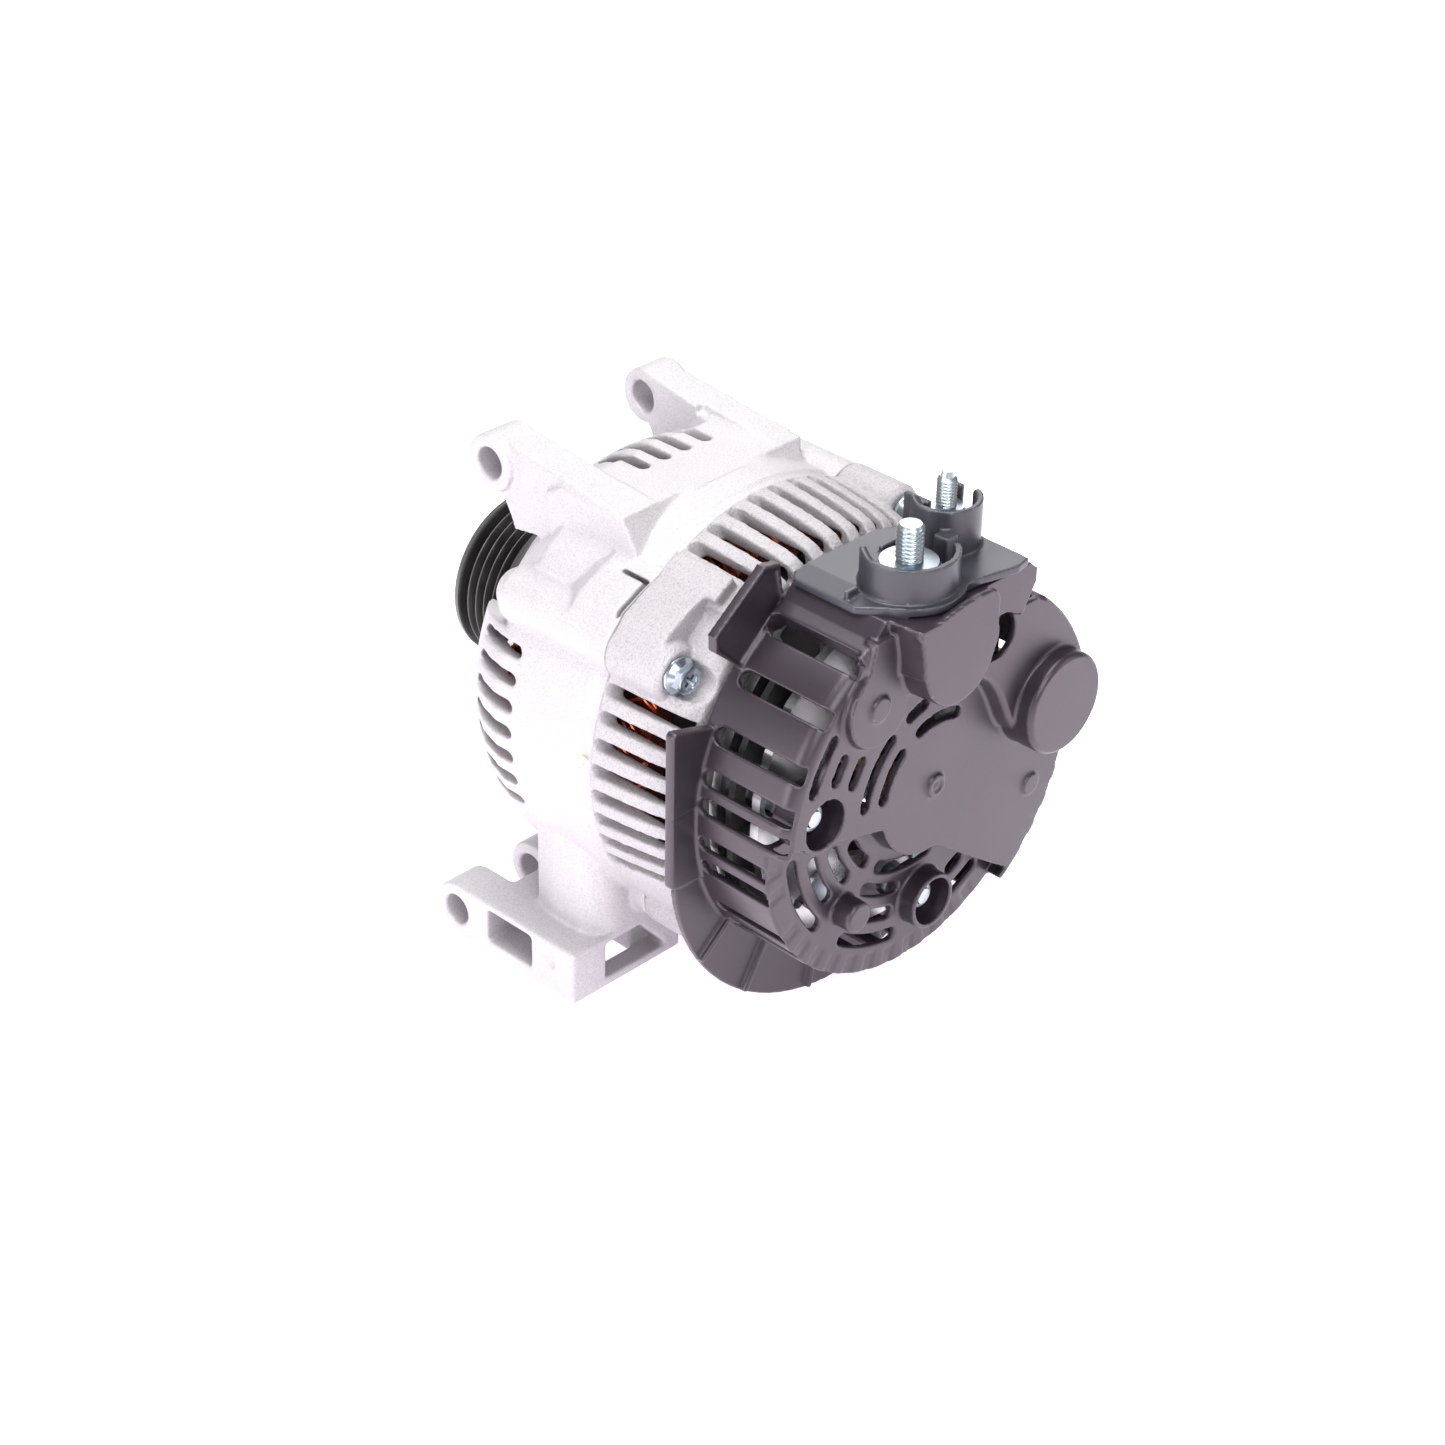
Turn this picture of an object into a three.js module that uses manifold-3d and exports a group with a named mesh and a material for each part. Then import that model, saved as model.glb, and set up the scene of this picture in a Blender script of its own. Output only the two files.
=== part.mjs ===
// Car alternator: a belt-driven claw-pole machine in two cast housings with a plastic rear cover.
// Millimetres, +Z up. The shaft runs along Y, with the pulley at the +Y end.
// Inside this file the shaft axis is X = Z = 0 and the main face of the rear cover is Y = 0. The last
// lines move the whole machine so that the row's origin is the middle of its base.

import * as THREE from "three";
import { mergeVertices } from "three/addons/utils/BufferGeometryUtils.js";
import Module from "manifold-3d";

const wasm = await Module();
wasm.setup();

// ---------------------------------------------------------------- driving dimensions

const GAP = 0.3; // left between touching pieces
const FACETS = 36; // around the large round pieces
const FRONT_FACETS = 25; // around the front housing: two slots to a facet
const SMALL_FACETS = 16; // around screws, studs and bearings

// stations along the shaft
const HOUSING_SPLIT_Y = 70; // where the two housings meet
const FRONT_FACE_Y = 147; // outer face of the front housing's bearing boss
const REAR_FACE_Y = 38; // rear wall of the rear housing
const PULLEY_BACK_Y = 151.5;
const PULLEY_FRONT_Y = 174;
const SHAFT_END_Y = 181;
const SHAFT_TAIL_Y = 6;

// radii of the body
const HOUSING_R = 68.5;
const CORE_R = 62; // stator core, outside
const CORE_BORE_R = 48.6;
const ROTOR_R = 48;
const BOLT_CIRCLE_R = 67;
const BOLT_ANGLES = [55, 145, 235, 325];

// front housing
const FRONT_SLOT_PITCH = 7.2;
const FRONT_SLOT_W = 4.4;
const FRONT_BEARING_R = 23.5;
const FRONT_BEARING_Y = [132.3, 146.3];
const FRONT_WINDOWS = 12;

// mounting ears on top and the foot below: their bolts run along X
const EAR_BORE_R = 5;
const EAR_BORE_Y = 143;
const EAR_BORE_Z = 63;
const EAR_BOSS_R = 9;
const EAR_OUTER_X = 36;
const EAR_INNER_X = 24.5;
const EAR_ROOT_Y = 86;
const EAR_ROOT_Z = 67;
const FOOT_X = [-70, -25.4];
const FOOT_LEG = 13.6;
const FOOT_Y = [76, 128];
const FOOT_Z = [-82.4, -64.3];
const FOOT_BORE_R = 5;
const FOOT_BORE_Z = -73.5;

// rear housing
const REAR_BEARING_R = 17.5;
const REAR_BEARING_Y = [30.5, 41.5];
const REAR_FIN_GAP = 4.7;
const SIDE_FIN_ANGLES = { first: 155.6, pitch: 7.03, count: 8 };
const TOP_FIN_ANGLES = { first: 115.5, pitch: -7.03, count: 8 };
const FAR_FIN_ANGLES = { first: -17, pitch: 9.2, count: 7 };
const LOW_FIN_ANGLES = { first: 250, pitch: 8.3, count: 8 };

// rotor
const ROTOR_MID_Y = 87;
const CORE_HALF = 15;
const CLAWS = 6;
const SHAFT_R = 8.5;
const REAR_SHAFT_R = 7.5;

// bearings: outer race, inner race, ball radius, ball count
const FRONT_RACES = { outer: [19.6, 23.5], inner: [8.8, 12.2], ball: 3.4, balls: 8 };
const REAR_RACES = { outer: [14.9, 17.5], inner: [7.8, 10.3], ball: 2.1, balls: 8 };

// slip rings and brushes
const SLIP_RING_R = 7.4;
const SLIP_RING_Y = [[10, 16], [19, 25]];
const BRUSH = { w: 6, t: 4.6, z0: 7.7, z1: 21 };
const SPRING_TOP_Z = 29.6;

// rear cover
const COVER_R = 62.5;
const COVER_WALL = 2.2;
const COVER_FRONT_Y = 36.6;
const SECTOR_Y = 6.6; // the lower sector of the rear face is set in by this much
const SECTOR_ANGLES = [176, 308.5];
const HUB_DISC_R = 22;
const FACE_RINGS = [22.3, 30.1, 38.5, 46.7, 55];
const SECTOR_RINGS = [28.8, 36, 44, 52];
const FACE_SLOT_W = 3.4;
const BARREL_SLOT_W = 5.4;
const BARREL_SLOTS_LEFT = [123, 138.3, 154.1, 166, 174];
const BARREL_SLOTS_RIGHT = [44.5, 35.7];
const BARREL_SLOTS_LOW = [185.3, 193.3, 210, 218.6, 227.2, 235.8, 244.4, 253, 261.6, 270.2, 278.8];
const CAP = { x: 42.9, z: 13.5, r: 15.9, y: -12 };
const NUT_1 = { x: -45.8, z: 7.4 };
const NUT_2 = { x: 3.2, z: -42.3 };
const B_PLUS_FACE_Y = -12;
const RAISED_Y = -6; // the face between the cap and the terminals stands this far out

// terminals: the block sits on the flat top of the cover
const SHELF_Z = 64.2;
const PLATE_Z = [64.5, 67];
const B_PLUS = {
  x: -8, y: 7, r: 4, guardR: 14.2, wall: 1.8, guardH: 10.6, guardSpan: [145, 332], seat: 6.5, length: 11.2,
};
const L_TERM = {
  x: 16, y: 15, r: 3, guardR: 10.4, wall: 1.6, guardH: 15, guardSpan: [145, 345], seat: 11.4, length: 10.8,
};

// ---------------------------------------------------------------- solids

function toSolid(geometry) {
  const bare = geometry.clone();
  bare.deleteAttribute("normal");
  bare.deleteAttribute("uv");
  const merged = mergeVertices(bare, 1e-4);
  const index = merged.index.array;
  const kept = [];
  for (let i = 0; i < index.length; i += 3) {
    const [a, b, c] = [index[i], index[i + 1], index[i + 2]];
    if (a !== b && b !== c && c !== a) {
      kept.push(a, b, c);
    }
  }
  const vertProperties = Float32Array.from(merged.attributes.position.array);
  const triVerts = Uint32Array.from(kept);
  return new wasm.Manifold(new wasm.Mesh({ numProp: 3, vertProperties, triVerts }));
}

function union(solids) {
  return solids.reduce((sum, next) => sum.add(next));
}

function cut(solid, cutters) {
  return cutters.length ? solid.subtract(union(cutters)) : solid;
}

function toMesh(name, solid, look) {
  const mesh = solid.getMesh();
  const geometry = new THREE.BufferGeometry();
  const positions = new Float32Array(mesh.numVert * 3);
  for (let i = 0; i < mesh.numVert; i += 1) {
    for (let k = 0; k < 3; k += 1) {
      positions[3 * i + k] = mesh.vertProperties[i * mesh.numProp + k];
    }
  }
  geometry.setAttribute("position", new THREE.BufferAttribute(positions, 3));
  geometry.setIndex(Array.from(mesh.triVerts));
  geometry.computeVertexNormals();
  const part = new THREE.Mesh(geometry, look());
  part.name = name;
  return part;
}

// a ring or disc about the shaft: outline points are [radius, y], going up the outside
function turned(points, facets = FACETS) {
  const outline = points.map(([r, y]) => new THREE.Vector2(r, y));
  outline.push(outline[0].clone());
  return toSolid(new THREE.LatheGeometry(outline, facets));
}

function tube(r0, r1, y0, y1, facets = FACETS) {
  return turned([[r1, y0], [r1, y1], [r0, y1], [r0, y0]], facets);
}

function disc(r, y0, y1, facets = FACETS) {
  const geometry = new THREE.CylinderGeometry(r, r, y1 - y0, facets);
  geometry.translate(0, (y0 + y1) / 2, 0);
  return toSolid(geometry);
}

// a round bar along Y at x, z
function rodY(x, z, r, y0, y1, facets = SMALL_FACETS) {
  const geometry = new THREE.CylinderGeometry(r, r, y1 - y0, facets);
  geometry.translate(x, (y0 + y1) / 2, z);
  return toSolid(geometry);
}

function rodX(y, z, r, x0, x1, facets = SMALL_FACETS) {
  const geometry = new THREE.CylinderGeometry(r, r, x1 - x0, facets);
  geometry.rotateZ(Math.PI / 2);
  geometry.translate((x0 + x1) / 2, y, z);
  return toSolid(geometry);
}

function rodZ(x, y, r, z0, z1, facets = SMALL_FACETS) {
  const geometry = new THREE.CylinderGeometry(r, r, z1 - z0, facets);
  geometry.rotateX(Math.PI / 2);
  geometry.translate(x, y, (z0 + z1) / 2);
  return toSolid(geometry);
}

function block(x, y, z) {
  const geometry = new THREE.BoxGeometry(x[1] - x[0], y[1] - y[0], z[1] - z[0]);
  geometry.translate((x[0] + x[1]) / 2, (y[0] + y[1]) / 2, (z[0] + z[1]) / 2);
  return toSolid(geometry);
}

function outlineOf(points) {
  return new THREE.Shape(points.map(([a, b]) => new THREE.Vector2(a, b)));
}

function extruded(shape, length, basis, offset, curveSegments) {
  const geometry = new THREE.ExtrudeGeometry(shape, { depth: length, bevelEnabled: false, curveSegments });
  geometry.applyMatrix4(new THREE.Matrix4().makeBasis(...basis));
  geometry.translate(...offset);
  return toSolid(geometry);
}

const AXIS = {
  x: new THREE.Vector3(1, 0, 0),
  y: new THREE.Vector3(0, 1, 0),
  z: new THREE.Vector3(0, 0, 1),
};

// an outline in x, z carried along Y
function prismY(shape, y0, y1, curveSegments = 8) {
  const basis = [AXIS.x, AXIS.z, AXIS.y.clone().negate()];
  return extruded(shape, y1 - y0, basis, [0, y1, 0], curveSegments);
}

// an outline in y, z carried along X
function prismX(shape, x0, x1, curveSegments = 8) {
  return extruded(shape, x1 - x0, [AXIS.y, AXIS.z, AXIS.x], [x0, 0, 0], curveSegments);
}

// an outline in x, y carried along Z
function prismZ(shape, z0, z1, curveSegments = 8) {
  return extruded(shape, z1 - z0, [AXIS.x, AXIS.y, AXIS.z], [0, 0, z0], curveSegments);
}

const radians = THREE.MathUtils.degToRad;

function polar(r, degrees) {
  return [r * Math.cos(radians(degrees)), r * Math.sin(radians(degrees))];
}

// a curved bar with pointed ends on a circle about the shaft, as a shape in x, z
function arcBar(r, a0, a1, width) {
  const half = width / 2;
  const bend = THREE.MathUtils.radToDeg(half / r);
  const steps = Math.max(1, Math.round((a1 - a0) / 16));
  const along = Array.from({ length: steps + 1 }, (_, i) => a0 + ((a1 - a0) * i) / steps);
  return outlineOf([
    ...along.map((angle) => polar(r + half, angle)),
    polar(r, a1 + bend),
    ...along.reverse().map((angle) => polar(r - half, angle)),
    polar(r, a0 - bend),
  ]);
}

// a plain sector of a ring, as a shape in x, z
function ringSector(r0, r1, a0, a1, step = 12) {
  const steps = Math.max(1, Math.round((a1 - a0) / step));
  const along = Array.from({ length: steps + 1 }, (_, i) => a0 + ((a1 - a0) * i) / steps);
  const outside = along.map((angle) => polar(r1, angle));
  const inside = along.reverse().map((angle) => polar(r0, angle));
  return outlineOf([...outside, ...inside]);
}

// a cutter that stands on a radius: width across, from r0 outward, between y0 and y1
function radialBar(width, r0, r1, y0, y1, degrees) {
  const geometry = new THREE.BoxGeometry(r1 - r0, y1 - y0, width);
  geometry.translate((r0 + r1) / 2, (y0 + y1) / 2, 0);
  geometry.rotateY(-radians(degrees));
  return toSolid(geometry);
}

function hexagonY(x, z, acrossFlats, y0, y1) {
  return rodY(x, z, acrossFlats / Math.sqrt(3), y0, y1, 6);
}

// ---------------------------------------------------------------- looks

function surface(color, roughness, metalness) {
  return () => new THREE.MeshStandardMaterial({ color, roughness, metalness });
}

const castAluminium = surface(0xd9d6da, 0.55, 0.9);
const laminatedSteel = surface(0x6c6a68, 0.5, 0.8);
const enamelledCopper = surface(0x8a3c1e, 0.4, 0.7);
const machinedSteel = surface(0xb4b6ba, 0.3, 1);
const darkSteel = surface(0x3c3c3e, 0.5, 0.8);
const zincSteel = surface(0xc4ccd4, 0.3, 1);
const coverPlastic = surface(0x544e50, 0.5, 0);
const terminalPlastic = surface(0x8f9397, 0.45, 0);
const boardPlastic = surface(0x2a2a2c, 0.5, 0);
const blackPaint = surface(0x121214, 0.35, 0.2);
const bearingSteel = surface(0xc8c8cc, 0.15, 1);
const carbon = surface(0x2a2827, 0.6, 0.2);
const copper = surface(0xb87348, 0.3, 1);

// ---------------------------------------------------------------- housings

// the front housing's inside: [radius, y]
const HOLLOW = [
  [0, 60], [63, 60], [63, 104], [60.5, 115], [56.5, 126], [45, 136], [30, 138.5], [30, 132],
  [FRONT_BEARING_R + GAP, 132], [FRONT_BEARING_R + GAP, FRONT_BEARING_Y[1]], [0, FRONT_BEARING_Y[1]],
];

function frontShell() {
  const y0 = HOUSING_SPLIT_Y + GAP;
  return turned([
    [0, y0], [HOUSING_R, y0], [HOUSING_R, 112], [61, 128], [45, 141], [30, 144],
    [29, FRONT_FACE_Y], [0, FRONT_FACE_Y],
  ], FRONT_FACETS);
}

function frontSlots() {
  const cutters = [];
  for (let i = 0; i < 360 / FRONT_SLOT_PITCH; i += 1) {
    const angle = 7.2 + i * FRONT_SLOT_PITCH;
    const nearLug = BOLT_ANGLES.some((bolt) => Math.abs(angle - bolt) < 11);
    const underFoot = angle > 205 && angle < 275;
    const underEars = (angle > 107 && angle < 130) || (angle > 50 && angle < 73);
    if (!nearLug && !underFoot && !underEars) {
      cutters.push(radialBar(FRONT_SLOT_W, 52, 75, 103.5, 125.5, angle));
    }
  }
  return cutters;
}

function frontWindows() {
  const cutters = [];
  for (let i = 0; i < FRONT_WINDOWS; i += 1) {
    const middle = (i * 360) / FRONT_WINDOWS;
    cutters.push(prismY(ringSector(32.5, 46, middle - 10, middle + 10, 20), 133, 150));
  }
  return cutters;
}

// an ear is a web on edge that rises from the body to a round boss
function earWeb(x0, x1, rootX0, rootX1) {
  const tipY = EAR_BORE_Y;
  const tipTop = EAR_BORE_Z + EAR_BOSS_R - 0.4;
  const side = outlineOf([
    [EAR_ROOT_Y, 50], [112, 48], [134, 44], [tipY - 2, EAR_BORE_Z - EAR_BOSS_R + 1.5], [tipY + 2, EAR_BORE_Z],
    [tipY, tipTop], [EAR_ROOT_Y, EAR_ROOT_Z],
  ]);
  const plan = outlineOf([[rootX0, EAR_ROOT_Y], [rootX1, EAR_ROOT_Y], [x1, tipY + 4], [x0, tipY + 4]]);
  return prismX(side, -60, 60).intersect(prismZ(plan, 40, 80));
}

function ears() {
  const boss = (x0, x1) => rodX(EAR_BORE_Y, EAR_BORE_Z, EAR_BOSS_R, x0, x1, 20);
  const side = [[EAR_ROOT_Y, 52], [116, 52], [118, 64.5], [112, EAR_ROOT_Z], [EAR_ROOT_Y, EAR_ROOT_Z]];
  const platform = prismX(outlineOf(side), -40, 32);
  return union([
    platform,
    earWeb(-EAR_OUTER_X, -EAR_INNER_X, -40, -26),
    earWeb(EAR_INNER_X, EAR_OUTER_X, 18, 34),
    boss(-EAR_OUTER_X - 3, -EAR_INNER_X),
    boss(EAR_INNER_X, EAR_OUTER_X + 1),
  ]);
}

// the foot: two legs along Y joined by a rear wall, a thin top skin and a column up to the body
function foot() {
  const tip = (x0, x1) => rodX(FOOT_Y[1], FOOT_BORE_Z, FOOT_Z[1] - FOOT_BORE_Z, x0, x1, 20);
  const leg = (x0, x1) => union([block([x0, x1], FOOT_Y, FOOT_Z), tip(x0, x1)]);
  const rearWall = block(FOOT_X, [FOOT_Y[0], FOOT_Y[0] + 7], FOOT_Z);
  const frontWall = block(FOOT_X, [112, 117], FOOT_Z);
  const skin = block(FOOT_X, [FOOT_Y[0], 117], [FOOT_Z[1] - 2.5, FOOT_Z[1]]);
  const column = prismX(outlineOf([
    [FOOT_Y[0], FOOT_Z[1] - 1], [106, FOOT_Z[1] - 1], [98, -50], [96, -30], [FOOT_Y[0], -30],
  ]), -60, -28);
  return union([
    leg(FOOT_X[0], FOOT_X[0] + FOOT_LEG),
    leg(FOOT_X[1] - FOOT_LEG, FOOT_X[1]),
    rearWall, frontWall, skin, column,
  ]);
}

function footWindows() {
  const sideWindow = block([FOOT_X[0] - 1, FOOT_X[0] + FOOT_LEG + 1], [94.5, 114], [-78, -66.8]);
  const rearWindow = prismY(outlineOf([[-56.4, -79.2], [-31, -79.2], [-42, -66.8], [-56.4, -66.8]]),
    FOOT_Y[0] - 1, FOOT_Y[0] + 8);
  return [sideWindow, rearWindow];
}

function frontHousing() {
  const lugs = BOLT_ANGLES.map((angle) => {
    const [x, z] = polar(BOLT_CIRCLE_R - 2, angle);
    return rodY(x, z, 8.5, HOUSING_SPLIT_Y + GAP, 118);
  });
  const body = union([frontShell(), ...lugs, ears(), foot()]);
  const boltHoles = BOLT_ANGLES.map((angle) => {
    const [x, z] = polar(BOLT_CIRCLE_R, angle);
    return rodY(x, z, 2.5 + GAP, 60, 105.5, 10);
  });
  const notch = radialBar(13.4, 66.6, 80, 71.5, 81.8, 134.4);
  const crown = block([-EAR_INNER_X, EAR_INNER_X], [84, 118], [EAR_ROOT_Z, EAR_ROOT_Z + 4]);
  return cut(body, [
    turned(HOLLOW, FRONT_FACETS),
    disc(20, 140, 150, 24),
    ...frontSlots(),
    ...frontWindows(),
    ...footWindows(),
    ...boltHoles,
    notch,
    crown,
    rodX(EAR_BORE_Y, EAR_BORE_Z, EAR_BORE_R, -60, 60),
    rodX(FOOT_Y[1], FOOT_BORE_Z, FOOT_BORE_R, -90, 0),
  ]);
}

function finAngles() {
  const spread = ({ first, pitch, count }) => Array.from({ length: count }, (_, i) => first + i * pitch);
  const side = spread(SIDE_FIN_ANGLES);
  const top = spread(TOP_FIN_ANGLES);
  const far = spread(FAR_FIN_ANGLES);
  const low = spread(LOW_FIN_ANGLES);
  return [...side, ...top, ...far, ...low];
}

function rearHousing() {
  const y1 = HOUSING_SPLIT_Y;
  const shell = turned([
    [0, REAR_FACE_Y], [61, REAR_FACE_Y], [65, 43], [HOUSING_R, 67], [HOUSING_R, y1], [0, y1],
  ]);
  const bearingBoss = disc(22, 30, REAR_FACE_Y + 1, 24);
  const bosses = BOLT_ANGLES.map((angle) => {
    const [x, z] = polar(BOLT_CIRCLE_R - 1.5, angle);
    return rodY(x, z, 8.5, 49, y1);
  });
  const inside = disc(62.4, 43, 90);
  const bearingSeat = disc(REAR_BEARING_R + GAP, 29, 45, 24);
  const headPockets = BOLT_ANGLES.map((angle) => {
    const [x, z] = polar(BOLT_CIRCLE_R, angle);
    return rodY(x, z, 7, 36, 49, 12);
  });
  const fins = finAngles().map((angle) => radialBar(REAR_FIN_GAP, 57.5, 80, 43.6, 66, angle));
  const windows = [];
  for (let i = 0; i < 10; i += 1) {
    windows.push(prismY(ringSector(26, 50, 36 * i - 12, 36 * i + 12), 30, 46));
  }
  const boltHoles = BOLT_ANGLES.map((angle) => {
    const [x, z] = polar(BOLT_CIRCLE_R, angle);
    return rodY(x, z, 2.5 + GAP, 40, 80, 10);
  });
  const studBosses = [NUT_1, NUT_2].map(({ x, z }) => rodY(x, z, 5, 34, 44));
  const studHoles = [NUT_1, NUT_2].map(({ x, z }) => rodY(x, z, 2.5 + GAP, 30, 46, 12));
  const body = cut(union([shell, ...bosses, bearingBoss]), [inside, bearingSeat, ...fins, ...windows]);
  return cut(body.add(union(studBosses)), [...boltHoles, ...studHoles, ...headPockets]);
}

// ---------------------------------------------------------------- stator

const STATOR_SLOTS = 36;
const LEAD_ANGLES = [108, 222, 280];
const LEAD_R = 48;

function statorCore() {
  const ring = tube(CORE_BORE_R, CORE_R, ROTOR_MID_Y - CORE_HALF, ROTOR_MID_Y + CORE_HALF);
  const slots = [];
  for (let i = 0; i < STATOR_SLOTS; i += 1) {
    slots.push(radialBar(4.4, 46, 58.6, 60, 115, ((i + 0.5) * 360) / STATOR_SLOTS));
  }
  return cut(ring, slots);
}

function windingHead(y0, y1) {
  return turned([[52, y0], [59, y0], [60, y0 + 3], [59, y1], [52, y1], [51, y0 + 3]], 24);
}

function statorWinding() {
  const bars = [];
  for (let i = 0; i < STATOR_SLOTS; i += 1) {
    bars.push(radialBar(3.4, 52.8, 58, 70, 104, ((i + 0.5) * 360) / STATOR_SLOTS));
  }
  const leads = LEAD_ANGLES.map((angle) => {
    const [x, z] = polar(LEAD_R, angle);
    return union([rodY(x, z, 1.4, 28.4, 61, 8), radialBar(2.8, LEAD_R - 0.5, 54, 59, 61.6, angle)]);
  });
  return union([windingHead(102.6, 116), windingHead(57, 71.4), ...bars, ...leads]);
}

// ---------------------------------------------------------------- rotor

function clawPole(side) {
  const y = (offset) => ROTOR_MID_Y + side * offset;
  const span = (a, b) => [Math.min(y(a), y(b)), Math.max(y(a), y(b))];
  const [hub0, hub1] = span(0.15, 9);
  const [plate0, plate1] = span(9, 20.5);
  const claws = [];
  for (let i = 0; i < CLAWS; i += 1) {
    const middle = (i * 360) / CLAWS + (side > 0 ? 0 : 180 / CLAWS);
    const root = new THREE.Shape();
    const flank = [[-12.4, 20.5], [12.4, 20.5], [12.4, 9], [4.4, -17], [-4.4, -17], [-12.4, 9]];
    flank.forEach(([s, t], k) => (k ? root.lineTo(s, side * t) : root.moveTo(s, side * t)));
    root.closePath();
    const geometry = new THREE.ExtrudeGeometry(root, { depth: 22, bevelEnabled: false });
    geometry.applyMatrix4(new THREE.Matrix4().makeBasis(
      new THREE.Vector3(0, 0, -1), AXIS.y, AXIS.x));
    geometry.translate(28, ROTOR_MID_Y, 0);
    geometry.rotateY(-radians(middle));
    claws.push(toSolid(geometry));
  }
  const teeth = union(claws).intersect(tube(41.5, ROTOR_R, 60, 115, 24));
  const star = union(claws).intersect(tube(26, 46, plate0, plate1, 24));
  return union([
    tube(SHAFT_R + GAP, 19.6, hub0, hub1, 24),
    tube(SHAFT_R + GAP, 30, plate0, plate1, 24),
    star,
    teeth,
  ]);
}

function rotorShaft() {
  return turned([
    [0, SHAFT_TAIL_Y], [4, SHAFT_TAIL_Y], [4, 29], [REAR_SHAFT_R, 29],
    [REAR_SHAFT_R, 42.2], [10, 42.2], [10, 53.5], [SHAFT_R, 53.5], [SHAFT_R, 120.4],
    [11.4, 120.4], [11.4, FRONT_BEARING_Y[0] - GAP], [SHAFT_R, FRONT_BEARING_Y[0] - GAP],
    [SHAFT_R, 164], [7.8, 164.6], [7.8, SHAFT_END_Y - 1], [6.8, SHAFT_END_Y], [0, SHAFT_END_Y],
  ], SMALL_FACETS);
}

function fan(side, y0) {
  const back = side > 0 ? [y0, y0 + 1.6] : [y0 - 1.6, y0];
  const blade = side > 0 ? [y0 + 1.2, y0 + 10] : [y0 - 9, y0 - 1.2];
  const blades = [];
  for (let i = 0; i < 9; i += 1) {
    const geometry = new THREE.BoxGeometry(20, blade[1] - blade[0], 1.6);
    geometry.translate(0, (blade[0] + blade[1]) / 2, 0);
    geometry.rotateY(-radians(28 * side));
    geometry.translate(36, 0, 0);
    geometry.rotateY(-radians((i * 360) / 9 + (i % 3) * 3));
    blades.push(toSolid(geometry));
  }
  return union([tube(SHAFT_R + GAP, 42, back[0], back[1], 24), ...blades]);
}

function slipRingSleeve() {
  return turned([
    [7.2, 7.6], [7.2, 9.7], [5.6, 9.7], [5.6, 16.3], [7.2, 16.3], [7.2, 18.7], [5.6, 18.7],
    [5.6, 25.3], [7.2, 25.3], [7.2, 27.5], [4.3, 27.5], [4.3, 7.6],
  ], SMALL_FACETS);
}

// ---------------------------------------------------------------- bearings

function race([r0, r1], [y0, y1], facets = 20) {
  return tube(r0, r1, y0, y1, facets);
}

// the balls joined by their cage ring
function ballSet({ outer, inner, ball, balls }, [y0, y1]) {
  const pitchR = (outer[0] + inner[1]) / 2;
  const middle = (y0 + y1) / 2;
  const pieces = [tube(pitchR - 0.7, pitchR + 0.7, middle - 1.2, middle + 1.2, balls)];
  for (let i = 0; i < balls; i += 1) {
    const sphere = new THREE.SphereGeometry(ball, 6, 4);
    sphere.translate(pitchR, middle, 0);
    sphere.rotateY((i * 2 * Math.PI) / balls);
    pieces.push(toSolid(sphere));
  }
  return union(pieces);
}

function bearingRetainer() {
  const plate = tube(20.2, 29.6, 129.8, 131.8, 24);
  const screws = [0, 90, 180, 270].map((angle) => {
    const [x, z] = polar(26.4, angle + 45);
    return rodY(x, z, 1.6 + GAP, 128, 134, 8);
  });
  return cut(plate, screws);
}

// ---------------------------------------------------------------- pulley

const RIB_PITCH = 3.56;
const GROOVES = 5;

function pulley() {
  const rimR = 27.4;
  const tipR = 26.6;
  const rootR = 23.6;
  const front = PULLEY_FRONT_Y;
  const firstTip = front - 3.9;
  const outer = [[rimR, PULLEY_BACK_Y], [rimR, firstTip - (GROOVES - 1) * RIB_PITCH - 1.9]];
  for (let i = GROOVES - 1; i >= 0; i -= 1) {
    const groove = firstTip - i * RIB_PITCH;
    outer.push([rootR, groove]);
    if (i > 0) {
      outer.push([tipR, groove + RIB_PITCH / 2]);
    }
  }
  outer.push([rimR, firstTip + 1.9], [rimR, front]);
  const inner = [[19, front], [17.5, 164.5], [SHAFT_R + GAP, 164.5], [SHAFT_R + GAP, PULLEY_BACK_Y]];
  return turned([...outer, ...inner], 28);
}

function pulleyNut() {
  const flange = rodY(0, 0, 14.5, 164.9, 167, 24);
  return cut(flange.add(hexagonY(0, 0, 24, 166, 178)), [rodY(0, 0, 7.8 + GAP, 160, 182, 20)]);
}

// ---------------------------------------------------------------- electrics under the rear cover

const NEGATIVE_SPOTS = [200, 250, 300];
const POSITIVE_SPOTS = [228, 296, 328];
const DIODE_R = 6.3;

function heatSink(r0, r1, a0, a1, y0, y1, spots) {
  const plate = prismY(ringSector(r0, r1, a0, a1, 15), y0, y1);
  const holes = spots.map((angle) => {
    const [x, z] = polar((r0 + r1) / 2, angle);
    return rodY(x, z, DIODE_R + GAP, y0 - 1, y1 + 1, 12);
  });
  const studs = [NUT_1, NUT_2].map(({ x, z }) => rodY(x, z, 5.5, y0 - 1, y1 + 1, 12));
  const leads = LEAD_ANGLES.map((angle) => rodY(...polar(LEAD_R, angle), 2.4, y0 - 1, y1 + 1, 8));
  const holderRoom = block([-8.5, 8.5], [y0 - 1, y1 + 1], [20, 32.2]);
  return cut(plate, [...holes, ...studs, ...leads, holderRoom]);
}

function diode(r, degrees, y0, y1, leadTo) {
  const [x, z] = polar(r, degrees);
  const low = Math.min(y0, leadTo);
  const high = Math.max(y1, leadTo);
  return rodY(x, z, DIODE_R, y0, y1, 12).add(rodY(x, z, 0.9, low, high, 6));
}

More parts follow.
